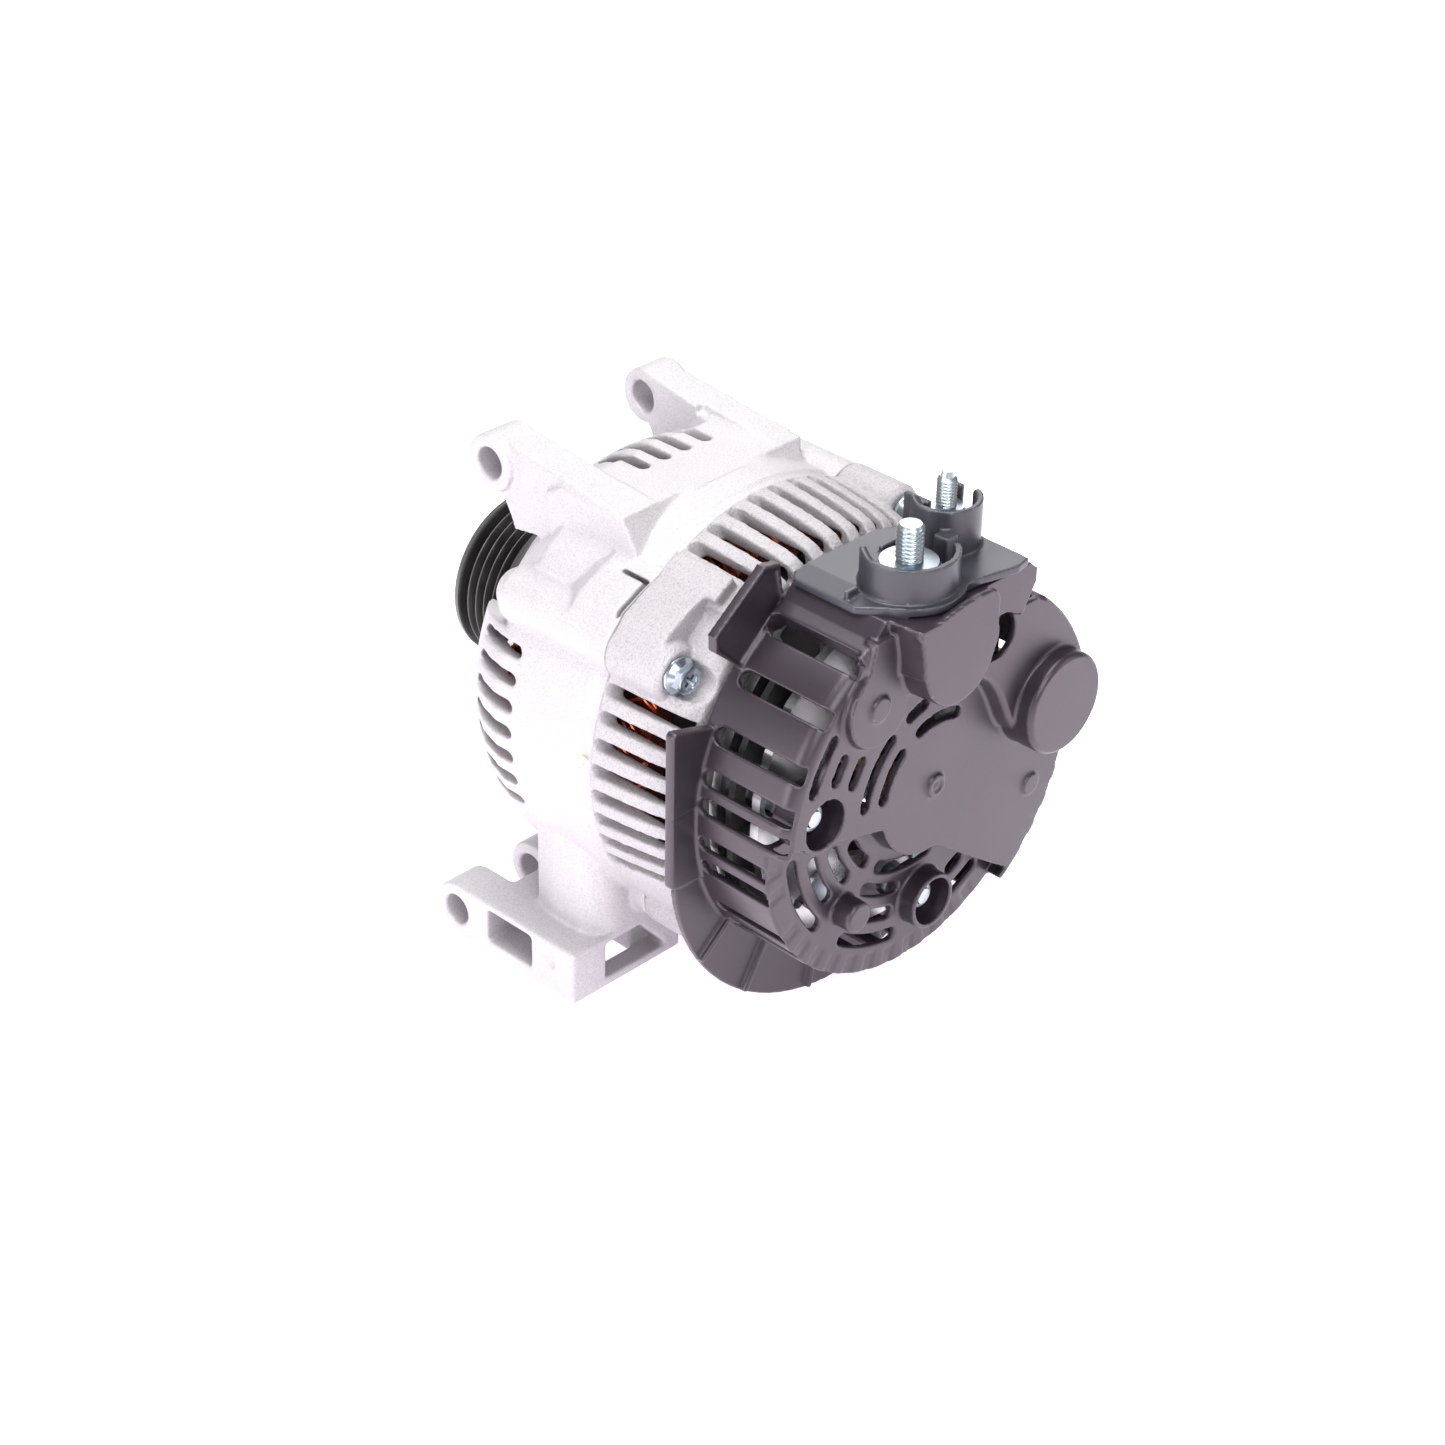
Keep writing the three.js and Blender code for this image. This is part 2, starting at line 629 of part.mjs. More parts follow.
function terminalBoard() {
  const ring = prismY(ringSector(30, 57, 128, 352, 16), 25.4, 27.6);
  const openings = [...NEGATIVE_SPOTS, ...POSITIVE_SPOTS].map((angle) => {
    const [x, z] = polar(42, angle);
    return rodY(x, z, 7.4, 24, 29, 12);
  });
  const ribs = [146, 184, 338].map((angle) => radialBar(2, 34, 55, 22.5, 26, angle));
  const leads = LEAD_ANGLES.map((angle) => rodY(...polar(LEAD_R, angle), 2.4, 20, 30, 8));
  const studs = [NUT_1, NUT_2].map(({ x, z }) => rodY(x, z, 5.5, 20, 30, 10));
  return cut(union([ring, ...ribs]), [...openings, ...leads, ...studs]);
}

function regulator() {
  const body = block([13, 40], [13, 27], [15, 38]);
  const ribs = [];
  for (let i = 0; i < 6; i += 1) {
    ribs.push(block([15.4 + 4 * i, 17 + 4 * i], [9.5, 14], [17, 36]));
  }
  return union([body, ...ribs]);
}

function brushHolder() {
  const body = block([-8, 8], [8, 27.6], [9.5, 31.6]);
  const relief = rodY(0, 0, SLIP_RING_R + 1.2, 6, 29, 24);
  const chimneys = SLIP_RING_Y.map(([y0, y1]) => {
    const middle = (y0 + y1) / 2;
    const [hx, hy] = [BRUSH.w / 2 + GAP, BRUSH.t / 2 + GAP];
    return block([-hx, hx], [middle - hy, middle + hy], [5, SPRING_TOP_Z + GAP]);
  });
  const lightening = [block([-9, -5.6], [10, 26], [13, 30]), block([5.6, 9], [10, 26], [13, 30])];
  return cut(body, [relief, ...chimneys, ...lightening]);
}

function brush([y0, y1]) {
  const middle = (y0 + y1) / 2;
  const [hx, hy] = [BRUSH.w / 2, BRUSH.t / 2];
  return block([-hx, hx], [middle - hy, middle + hy], [BRUSH.z0, BRUSH.z1]);
}

function brushSpring([y0, y1]) {
  const middle = (y0 + y1) / 2;
  const [z0, z1] = [BRUSH.z1 + GAP, SPRING_TOP_Z - GAP];
  return cut(rodZ(0, middle, 1.9, z0, z1, 10), [rodZ(0, middle, 1.1, z0 - 1, z1 + 1, 10)]);
}

// ---------------------------------------------------------------- rear cover

function skirtOutline() {
  const shape = new THREE.Shape();
  shape.moveTo(-55, 29);
  [[-70.4, 32.6], [-71.8, 31], [-71.8, -17.5], [-70.3, -19]].forEach(([x, z]) => shape.lineTo(x, z));
  shape.absarc(3.5, -11, 73.6, radians(187.4), radians(300), false);
  shape.absarc(0, 0, 70, radians(312), radians(330), false);
  shape.absarc(0, 0, COVER_R - 1, radians(330), radians(155), true);
  return shape;
}

function coverFaceCuts() {
  const inFace = (ring, a0, a1) => prismY(arcBar(FACE_RINGS[ring], a0, a1, FACE_SLOT_W), -4, 5, 4);
  const inSector = (ring, a0, a1) => prismY(arcBar(SECTOR_RINGS[ring], a0, a1, 3.8), 5, 12, 4);
  return [
    inFace(4, 142, 159), inFace(3, 146, 155.5), inFace(2, 144.8, 157), inFace(1, 129.5, 170),
    inFace(0, 131, 169), inFace(0, 68, 110), inFace(1, 100, 114),
    inSector(3, 186.5, 219), inSector(3, 235, 262), inSector(2, 192, 215), inSector(2, 244, 258),
    inSector(1, 195.5, 217.5), inSector(1, 235, 260), inSector(0, 203, 225), inSector(0, 238, 285),
    inSector(2, 292.7, 299.5), inSector(3, 291, 303),
  ];
}

// the main face: everything but the set-in lower sector, whose upper edge runs round the centre disc
function plateauOutline() {
  const r = COVER_R - 1.2;
  const [a0, a1] = SECTOR_ANGLES;
  const shape = new THREE.Shape();
  shape.absarc(0, 0, r, radians(a1 - 360), radians(a0), false);
  shape.lineTo(-22, -4.5);
  shape.absarc(0, 0, HUB_DISC_R, radians(192), radians(276), false);
  shape.lineTo(...polar(r, a1));
  return shape;
}

function terminalShelf() {
  return outlineOf([
    [-34, 51], [-33.5, 57.5], [-30, 61.5], [-25, SHELF_Z], [28, SHELF_Z], [32, 61.5], [35, 56], [34, 51],
  ]);
}

function terminalFront() {
  const shape = new THREE.Shape();
  shape.moveTo(-23.4, SHELF_Z - 0.2);
  shape.lineTo(-21.4, 54.4);
  shape.absarc(-5.9, 49.5, 14.3, radians(186), radians(335), false);
  shape.lineTo(9.3, 61.4);
  shape.lineTo(8, SHELF_Z - 0.2);
  return shape;
}

// the raised face between the cap and the terminals; inset shrinks it by a wall thickness
function raisedOutline(inset) {
  const shape = new THREE.Shape();
  shape.moveTo(9.5 + inset, 50);
  const edge = [[11.1, 32.8], [15.8, 29], [19.3, 24.2], [22.3, 18.4], [27, 14]];
  edge.forEach(([x, z]) => shape.lineTo(x + inset, z + inset));
  shape.absarc(0, 0, COVER_R - 0.6 - inset, radians(17), radians(52 - inset), false);
  return shape;
}

function barrelSlots() {
  const high = [...BARREL_SLOTS_LEFT, ...BARREL_SLOTS_RIGHT];
  return [
    ...high.map((angle) => radialBar(BARREL_SLOT_W, 57, 70, 1, 32.5, angle)),
    ...BARREL_SLOTS_LOW.map((angle) => radialBar(BARREL_SLOT_W - 0.6, 57, 70, 8.2, 32.5, angle)),
  ];
}

function rearCover() {
  const barrel = turned([
    [COVER_R - 1.4, 0.2], [COVER_R, 1.8], [COVER_R, COVER_FRONT_Y],
    [COVER_R - COVER_WALL, COVER_FRONT_Y], [COVER_R - COVER_WALL, 0.2],
  ]);
  const plateau = prismY(plateauOutline(), 0, COVER_WALL, 14);
  const sector = disc(COVER_R - 1, SECTOR_Y, SECTOR_Y + COVER_WALL);
  const sectorTrim = prismY(plateauOutline(), SECTOR_Y - 1, SECTOR_Y + 4, 14);
  const stepWall = cut(prismY(plateauOutline(), 0, SECTOR_Y + COVER_WALL, 14), [
    prismY(innerPlateau(), COVER_WALL - 0.2, 20, 14),
  ]);
  const lowBarrel = cut(disc(COVER_R + 4, -1, SECTOR_Y), [prismY(plateauOutline(), -2, 20, 14)])
    .intersect(prismY(ringSector(HUB_DISC_R, 80, SECTOR_ANGLES[0] - 1, SECTOR_ANGLES[1] + 1), -2, SECTOR_Y));
  const skirt = prismY(skirtOutline(), COVER_FRONT_Y - 2.2, COVER_FRONT_Y, 12);
  const skirtRibs = [219.5, 239.5, 261, 283].map((angle) => {
    const [towardX, towardZ] = polar(1, angle);
    const reach = 72.5 + 3.5 * towardX - 11 * towardZ;
    return radialBar(1.6, COVER_R - 1, reach, COVER_FRONT_Y - 3.8, COVER_FRONT_Y - 1, angle);
  });
  const topPlan = outlineOf([[-44, 42], [-28, 54], [-31, 70.5], [-37, 71.5], [-56, 57], [-55.5, 52]]);
  const topFlange = prismY(topPlan, COVER_FRONT_Y - 2.4, COVER_FRONT_Y);
  const shelf = prismY(terminalShelf(), -1, 33);
  const housing = prismY(terminalFront(), B_PLUS_FACE_Y, 4, 10);
  const lip = prismY(outlineOf([[-20, 63.5], [9, 63.5], [6, 65.4], [-2, 66.4], [-10, 66], [-20, 64.4]]),
    B_PLUS_FACE_Y, B_PLUS_FACE_Y + 2.4);
  const tab = prismY(outlineOf([[7, 50], [21, 50.5], [26, 48.5], [31, 57], [31, 61.5], [7, 63]]), -7, 3);
  const raised = prismY(raisedOutline(0), RAISED_Y, 1);
  const lobe = prismY(outlineOf([[-39, 45], [-17, 36], [-14, 60], [-30, 60]]), -3, 1)
    .add(rodY(-28, 39, 12.3, -3, 1, 20));
  const lobeBoss = rodY(-29, 39, 3.8, -4, 0, 12);
  const centreBoss = rodY(0, 0, 3.2, -1.3, 1, 12);
  const sideBoss = rodY(44, -19.4, 3.4, -1, 1, 12);
  const cap = rodY(CAP.x, CAP.z, CAP.r, CAP.y, 2, 20);
  const peg = rodY(-30, -31.5, 4.8, -0.3, SECTOR_Y + 1, 12);
  const tube1 = rodY(NUT_1.x, NUT_1.z, 9, 1, 12, 16);
  const tube2 = rodY(NUT_2.x, NUT_2.z, 8.8, 0.6, 12, 16);
  const body = union([
    cut(barrel, [lowBarrel]), plateau, cut(sector, [sectorTrim]), stepWall, skirt, ...skirtRibs, topFlange,
    shelf, housing, lip, tab, raised, lobe, lobeBoss, centreBoss, sideBoss, cap, peg, tube1, tube2,
  ]);
  const underShelf = [[-31.5, 40], [-31.5, 56], [-28, 60], [-24, 62], [27, 62], [32, 56], [32, 40]];
  const hollows = [
    prismY(outlineOf(underShelf), 2.2, 34),
    prismY(outlineOf([[-20.6, 61], [-18.2, 44], [-6, 37.4], [5.4, 44], [7, 61]]), B_PLUS_FACE_Y + 2.2, 3),
    prismY(raisedOutline(2.2), RAISED_Y + 2.2, 3),
    block([9.5, 28], [-4.8, 4], [50, 60]),
    rodY(16.5, 44.5, 6, -9, 3, 16),
    rodY(CAP.x, CAP.z, CAP.r - 2.2, CAP.y + 2.2, 4, 16),
    rodY(NUT_1.x, NUT_1.z, 7.4, -1, 9.6, 16),
    rodY(NUT_1.x, NUT_1.z, 2.5 + GAP, 5, 14, 12),
    rodY(NUT_2.x, NUT_2.z, 7.2, -6, 9.6, 16),
    rodY(NUT_2.x, NUT_2.z, 2.5 + GAP, 5, 14, 12),
    rodZ(B_PLUS.x, B_PLUS.y, 7, 50, 70),
    rodZ(L_TERM.x, L_TERM.y, 5, 50, 70),
  ];
  return cut(body, [...hollows, ...coverFaceCuts(), ...barrelSlots()]);
}

// the main face's outline, a wall thickness smaller on the side of the set-in sector
function innerPlateau() {
  const r = COVER_R - COVER_WALL;
  const [a0, a1] = SECTOR_ANGLES;
  const shape = new THREE.Shape();
  shape.absarc(0, 0, r, radians(a1 - 360 + 2.4), radians(a0 - 2.4), false);
  shape.lineTo(-21.5, -2);
  shape.absarc(0, 0, HUB_DISC_R - COVER_WALL, radians(190), radians(278), false);
  shape.lineTo(...polar(r, a1 + 2.4));
  return shape;
}

// ---------------------------------------------------------------- terminals

function guard({ x, y, guardR, wall, guardH, guardSpan }) {
  const [a0, a1] = guardSpan.map(radians);
  const shape = new THREE.Shape();
  shape.absarc(x, y, guardR, a0, a1, false);
  shape.absarc(x, y, guardR - wall, a1, a0, true);
  return prismZ(shape, PLATE_Z[1] - 0.5, PLATE_Z[1] + guardH, 10);
}

function terminalBlock() {
  const plan = new THREE.Shape();
  plan.moveTo(-25.5, 33.2);
  plan.lineTo(-28.2, 31);
  plan.lineTo(-28.2, 8.5);
  plan.lineTo(-23.5, 1.5);
  plan.absarc(B_PLUS.x, B_PLUS.y, 16.2, radians(201), radians(308), false);
  plan.lineTo(8, -6.2);
  plan.lineTo(20, -9);
  plan.lineTo(25.5, -8);
  plan.lineTo(26, 12);
  plan.lineTo(18, 26);
  plan.lineTo(11, 31);
  plan.lineTo(7, 32.6);
  const plate = prismZ(plan, PLATE_Z[0], PLATE_Z[1], 12);
  const seats = [B_PLUS, L_TERM].map(({ x, y, r, seat }) =>
    rodZ(x, y, r + 3.4, PLATE_Z[1] - 1, PLATE_Z[1] + seat - 2.2, 16));
  const bridge = block([4, 9], [4, 9], [PLATE_Z[1] - 0.5, PLATE_Z[1] + 9]);
  const backWall = block([8.2, 9.8], [15, 24], [PLATE_Z[1] - 0.5, PLATE_Z[1] + 15]);
  const backWall2 = block([22.2, 23.8], [15, 24], [PLATE_Z[1] - 0.5, PLATE_Z[1] + 15]);
  const body = union([plate, ...seats, guard(B_PLUS), guard(L_TERM), bridge, backWall, backWall2]);
  return cut(body, [
    rodZ(B_PLUS.x, B_PLUS.y, B_PLUS.r + GAP, 40, 100),
    rodZ(L_TERM.x, L_TERM.y, L_TERM.r + GAP, 40, 100),
  ]);
}

function terminalStud({ x, y, r, seat, length }, tail) {
  const seatZ = PLATE_Z[1] + seat;
  const flangeR = r === B_PLUS.r ? 8.8 : 5.6;
  const tip = new THREE.CylinderGeometry(r - 0.8, r, 1, SMALL_FACETS);
  tip.rotateX(Math.PI / 2);
  tip.translate(x, y, seatZ + length - 0.5);
  return union([
    rodZ(x, y, r, tail, seatZ + length - 1),
    toSolid(tip),
    rodZ(x, y, flangeR, seatZ - 1.8, seatZ, 16),
  ]);
}

// the strap that carries the output from the positive heat sink up to the main stud
function outputStrap() {
  const side = [[2.6, 59], [14, 59], [17.7, 53], [17.7, 40], [15.7, 40], [15.7, 52], [12.6, 57], [2.6, 57]];
  const strap = prismX(outlineOf(side), B_PLUS.x - 5, B_PLUS.x + 5);
  return cut(strap, [rodZ(B_PLUS.x, B_PLUS.y, B_PLUS.r + GAP, 50, 62)]);
}

// ---------------------------------------------------------------- screws, studs and nuts

// hexagon head with a flange and a cross recess, pointing to the rear
function throughBolt(degrees) {
  const [x, z] = polar(BOLT_CIRCLE_R, degrees);
  const seat = 48.7;
  const recess = [block([x - 2.4, x + 2.4], [42, 45.6], [z - 0.5, z + 0.5]),
    block([x - 0.5, x + 0.5], [42, 45.6], [z - 2.4, z + 2.4])];
  const head = union([rodY(x, z, 5.6, seat - 1.2, seat, 12), hexagonY(x, z, 8, seat - 5, seat - 1)]);
  return union([cut(head, recess), rodY(x, z, 2.5, seat - 1, 104, 10)]);
}

// a stand-off with a threaded end on each side
function coverStud({ x, z }) {
  return rodY(x, z, 2.5, 4, 43.2, 12).add(hexagonY(x, z, 7, 12.3, 33.7));
}

function coverNut({ x, z }) {
  const flange = rodY(x, z, 5.4, 8.1, 9.3, 12);
  return cut(flange.add(hexagonY(x, z, 8, 4.8, 8.6)), [rodY(x, z, 2.5 + GAP, 3, 12, 12)]);
}

function retainerScrew(degrees) {
  const [x, z] = polar(26.4, degrees);
  return rodY(x, z, 1.6, 128.4, 131.4, 8).add(rodY(x, z, 2.8, 127.4, 129.5, 10));
}

// ---------------------------------------------------------------- the machine

const alternator = new THREE.Group();

function put(name, solid, look) {
  alternator.add(toMesh(name, solid, look));
}

function putBearing(end, races, [y0, y1]) {
  const width = [y0 + GAP, y1 - GAP];
  put(`${end}_bearing_outer_race`, race(races.outer, width), bearingSteel);
  put(`${end}_bearing_inner_race`, race(races.inner, width), bearingSteel);
  put(`${end}_bearing_balls`, ballSet(races, [y0, y1]), bearingSteel);
}

put("front_housing", frontHousing(), castAluminium);
put("rear_housing", rearHousing(), castAluminium);
put("stator_core", statorCore(), laminatedSteel);
put("stator_winding", statorWinding(), enamelledCopper);

put("rotor_shaft", rotorShaft(), machinedSteel);
put("claw_pole_front", clawPole(1), darkSteel);
put("claw_pole_rear", clawPole(-1), darkSteel);
put("field_coil", tube(20.2, 38.6, ROTOR_MID_Y - 8.6, ROTOR_MID_Y + 8.6, 24), enamelledCopper);
put("front_fan", fan(1, ROTOR_MID_Y + 20.8), darkSteel);
put("rear_fan", fan(-1, ROTOR_MID_Y - 20.8), darkSteel);
put("slip_ring_sleeve", slipRingSleeve(), boardPlastic);
SLIP_RING_Y.forEach((span, i) => {
  put(`slip_ring_${i + 1}`, tube(5.9, SLIP_RING_R, ...span, SMALL_FACETS), copper);
});
const collarY = [FRONT_BEARING_Y[1] + 0.2, PULLEY_BACK_Y - GAP];
put("front_collar", tube(SHAFT_R + GAP, 12, ...collarY, 24), machinedSteel);
put("pulley", pulley(), blackPaint);
put("pulley_nut", pulleyNut(), zincSteel);

putBearing("front", FRONT_RACES, FRONT_BEARING_Y);
putBearing("rear", REAR_RACES, REAR_BEARING_Y);
put("bearing_retainer", bearingRetainer(), zincSteel);
[45, 135, 225, 315].forEach((angle, i) => put(`retainer_screw_${i + 1}`, retainerScrew(angle), zincSteel));

put("negative_heat_sink", heatSink(32, 57.6, 132, 350, 30.4, 33.4, NEGATIVE_SPOTS), castAluminium);
put("positive_heat_sink", heatSink(30, 54, 96, 345, 18, 21, POSITIVE_SPOTS), castAluminium);
NEGATIVE_SPOTS.forEach((angle, i) => {
  put(`negative_diode_${i + 1}`, diode(44.8, angle, 29.6, 34, 24), zincSteel);
});
POSITIVE_SPOTS.forEach((angle, i) => {
  put(`positive_diode_${i + 1}`, diode(42, angle, 16.6, 21.6, 28.4), zincSteel);
});
put("terminal_board", terminalBoard(), boardPlastic);
put("regulator", regulator(), boardPlastic);
put("brush_holder", brushHolder(), boardPlastic);
SLIP_RING_Y.forEach((span, i) => {
  put(`brush_${i + 1}`, brush(span), carbon);
  put(`brush_spring_${i + 1}`, brushSpring(span), machinedSteel);
});

put("rear_cover", rearCover(), coverPlastic);
[NUT_1, NUT_2].forEach((spot, i) => {
  put(`cover_stud_${i + 1}`, coverStud(spot), zincSteel);
  put(`cover_nut_${i + 1}`, coverNut(spot), zincSteel);
});
put("terminal_block", terminalBlock(), terminalPlastic);
put("b_plus_stud", terminalStud(B_PLUS, 55), zincSteel);
put("signal_stud", terminalStud(L_TERM, 55), zincSteel);
put("output_strap", outputStrap(), copper);
BOLT_ANGLES.forEach((angle, i) => put(`through_bolt_${i + 1}`, throughBolt(angle), zincSteel));

// the origin: middle of the bounding box in X and Y, lowest point in Z
const bounds = new THREE.Box3().setFromObject(alternator);
const middle = bounds.getCenter(new THREE.Vector3());
alternator.position.set(-middle.x, -middle.y, -bounds.min.z);

const part = new THREE.Group();
part.add(alternator);

export default part;
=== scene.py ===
import math
import random

import bmesh
import bpy
from mathutils import Matrix, Vector


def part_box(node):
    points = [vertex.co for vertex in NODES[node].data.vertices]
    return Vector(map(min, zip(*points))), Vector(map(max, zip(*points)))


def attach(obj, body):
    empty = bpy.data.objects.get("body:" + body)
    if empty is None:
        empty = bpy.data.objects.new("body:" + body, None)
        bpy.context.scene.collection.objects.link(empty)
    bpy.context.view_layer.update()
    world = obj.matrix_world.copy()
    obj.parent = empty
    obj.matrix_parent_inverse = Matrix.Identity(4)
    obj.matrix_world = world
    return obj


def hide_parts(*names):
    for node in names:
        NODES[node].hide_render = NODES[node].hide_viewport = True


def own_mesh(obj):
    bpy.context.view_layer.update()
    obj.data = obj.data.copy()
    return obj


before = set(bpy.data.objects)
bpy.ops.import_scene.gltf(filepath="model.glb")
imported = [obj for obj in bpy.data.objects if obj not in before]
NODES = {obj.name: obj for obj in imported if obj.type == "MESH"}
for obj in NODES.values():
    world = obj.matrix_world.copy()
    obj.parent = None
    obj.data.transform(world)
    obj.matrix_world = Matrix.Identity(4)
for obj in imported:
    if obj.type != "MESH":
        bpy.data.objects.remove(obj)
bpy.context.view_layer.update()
random.seed(7)

# ------------------------------------------------------------------ the frame
# Sizes below are in millimetres from the shaft's axis, y = 0 at the rear cover's main face.
SHAFT_END_Y = 181.0
pulley_lo, pulley_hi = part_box("pulley")
shaft_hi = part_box("rotor_shaft")[1]
ORIGIN = Vector((
    (pulley_lo.x + pulley_hi.x) / 2,
    shaft_hi.y - SHAFT_END_Y / 1000,
    (pulley_lo.z + pulley_hi.z) / 2,
))
TO_ROW = Matrix.Translation(ORIGIN) @ Matrix.Scale(0.001, 4)
X, Y, Z = 0, 1, 2
PLANE = {X: (Y, Z), Y: (X, Z), Z: (X, Y)}


# ------------------------------------------------------------------ solids
def make(points, faces):
    """A closed mesh object in millimetres, its faces turned outward."""
    mesh = bpy.data.meshes.new("solid")
    bm = bmesh.new()
    verts = [bm.verts.new(p) for p in points]
    for face in faces:
        bm.faces.new([verts[i] for i in face])
    bmesh.ops.remove_doubles(bm, verts=bm.verts, dist=1e-4)
    bmesh.ops.recalc_face_normals(bm, faces=bm.faces)
    bm.to_mesh(mesh)
    bm.free()
    solid = bpy.data.objects.new("solid", mesh)
    bpy.context.scene.collection.objects.link(solid)
    return solid


def point(axis, a, b, t):
    p = [0.0, 0.0, 0.0]
    u, v = PLANE[axis]
    p[u], p[v], p[axis] = a, b, t
    return p


def prism(axis, outline, t0, t1, top=None):
    """An outline carried along an axis; top is the outline at the far end where it differs."""
    n = len(outline)
    far = top or outline
    points = [point(axis, a, b, t0) for a, b in outline] + [point(axis, a, b, t1) for a, b in far]
    faces = [list(range(n))[::-1], list(range(n, 2 * n))]
    faces += [[i, (i + 1) % n, n + (i + 1) % n, n + i] for i in range(n)]
    return make(points, faces)


def polar(r, degrees):
    return (r * math.cos(math.radians(degrees)), r * math.sin(math.radians(degrees)))


def circle(a, b, r, n=48):
    return [(a + r * math.cos(2 * math.pi * i / n), b + r * math.sin(2 * math.pi * i / n)) for i in range(n)]


def arc(a, b, r, d0, d1, step=4):
    n = max(2, round(abs(d1 - d0) / step))
    spokes = [polar(r, d0 + (d1 - d0) * i / n) for i in range(n + 1)]
    return [(a + u, b + v) for u, v in spokes]


def curve(points, steps=5):
    """A smooth open curve through the points."""
    out = []
    ends = [points[0], *points, points[-1]]
    for i in range(len(points) - 1):
        p0, p1, p2, p3 = (Vector(q) for q in ends[i:i + 4])
        for k in range(steps):
            t = k / steps
            q = p1 + (p2 - p0) * 0.5 * t + (p0 * 2 - p1 * 5 + p2 * 4 - p3) * 0.5 * t * t
            q += (p1 * 3 - p0 - p2 * 3 + p3) * 0.5 * t ** 3
            out.append((q.x, q.y))
    return out + [tuple(points[-1])]


def rod(axis, a, b, r, t0, t1, n=48, r1=None):
    return prism(axis, circle(a, b, r, n), t0, t1, circle(a, b, r1, n) if r1 else None)


def block(x, y, z):
    return prism(X, [(y[0], z[0]), (y[1], z[0]), (y[1], z[1]), (y[0], z[1])], x[0], x[1])


def turned(profile, n=180):
    """A closed profile of (radius, y) turned about the shaft."""
    points = []
    for k in range(n):
        s, c = math.sin(2 * math.pi * k / n), math.cos(2 * math.pi * k / n)
        points += [(r * s, y, r * c) for r, y in profile]
    m = len(profile)
    faces = []
    for k in range(n):
        for i in range(m):
            j, l = (i + 1) % m, (k + 1) % n
            quad = [k * m + i, k * m + j, l * m + j, l * m + i]
            if profile[i][0] == 0 and profile[j][0] == 0:
                continue
            if profile[i][0] == 0:
                quad = [k * m + i, k * m + j, l * m + j]
            elif profile[j][0] == 0:
                quad = [k * m + i, k * m + j, l * m + i]
            faces.append(quad)
    return make(points, faces)


def slot_outline(half_width, a0, a1, n=6):
    """A slot with round ends, along the first coordinate."""
    c0, c1 = a0 + half_width, a1 - half_width
    turns = [math.pi * i / n for i in range(n + 1)]
    right = [(c1 + half_width * math.sin(t), -half_width * math.cos(t)) for t in turns]
    left = [(c0 - half_width * math.sin(t), half_width * math.cos(t)) for t in turns]
    return right + left


def radial(outline, r0, r1, degrees, spread=1.0, rise=0.0):
    """An outline of (y, across) carried outward along a radius; it widens by spread and shifts by rise."""
    c, s = math.cos(math.radians(degrees)), math.sin(math.radians(degrees))
    n = len(outline)
    points = [(r0 * c - a * s, y, r0 * s + a * c) for y, a in outline]
    points += [(r1 * c - a * spread * s, y + rise, r1 * s + a * spread * c) for y, a in outline]
    faces = [list(range(n))[::-1], list(range(n, 2 * n))]
    faces += [[i, (i + 1) % n, n + (i + 1) % n, n + i] for i in range(n)]
    return make(points, faces)


def radial_slot(width, r0, r1, y0, y1, degrees, spread=1.0, rise=0.0):
    return radial(slot_outline(width / 2, y0, y1), r0, r1, degrees, spread, rise)


def arched_slot(width, r0, r1, y0, y1, degrees):
    """A radial slot that is square at y0 and round at y1."""
    h = width / 2
    round_end = [(y1 - h + h * math.sin(math.pi * i / 8), -h * math.cos(math.pi * i / 8)) for i in range(9)]
    return radial([(y0, -h), *round_end, (y0, h)], r0, r1, degrees)


def radial_block(width, r0, r1, y0, y1, degrees):
    h = width / 2
    return radial([(y0, -h), (y1, -h), (y1, h), (y0, h)], r0, r1, degrees)


def arc_slot(r, d0, d1, width, y0, y1):
    """A curved slot with round ends about the shaft, cut along Y."""
    h = width / 2
    outline = arc(0, 0, r + h, d0, d1, 3)
    outline += arc(*polar(r, d1), h, d1, d1 + 180, 30)[1:-1]
    outline += arc(0, 0, r - h, d1, d0, 3)
    outline += arc(*polar(r, d0), h, d0 + 180, d0 + 360, 30)[1:-1]
    return prism(Y, outline, y0, y1)


def sector(r0, r1, d0, d1, y0, y1):
    return prism(Y, arc(0, 0, r1, d0, d1) + arc(0, 0, r0, d1, d0), y0, y1)


def drop(solid):
    mesh = solid.data
    bpy.data.objects.remove(solid)
    bpy.data.meshes.remove(mesh)


def gathered(solids):
    """Several solids that don't touch each other, as one."""
    bm = bmesh.new()
    for solid in solids:
        bm.from_mesh(solid.data)
    first = solids[0]
    bm.to_mesh(first.data)
    bm.free()
    for solid in solids[1:]:
        drop(solid)
    return first


def settle(solid):
    """Applies the modifiers."""
    dg = bpy.context.evaluated_depsgraph_get()
    mesh = bpy.data.meshes.new_from_object(solid.evaluated_get(dg))
    solid.modifiers.clear()
    old = solid.data
    solid.data = mesh
    bpy.data.meshes.remove(old)
    return solid


def boolean(solid, other, operation):
    mod = solid.modifiers.new("boolean", "BOOLEAN")
    mod.operation, mod.solver, mod.object = operation, "MANIFOLD", other
    settle(solid)
    drop(other)
    return solid


def join(solid, *others):
    for other in others:
        boolean(solid, other, "UNION")
    return solid


def cut(solid, *others):
    for other in others:
        boolean(solid, other, "DIFFERENCE")
    return solid


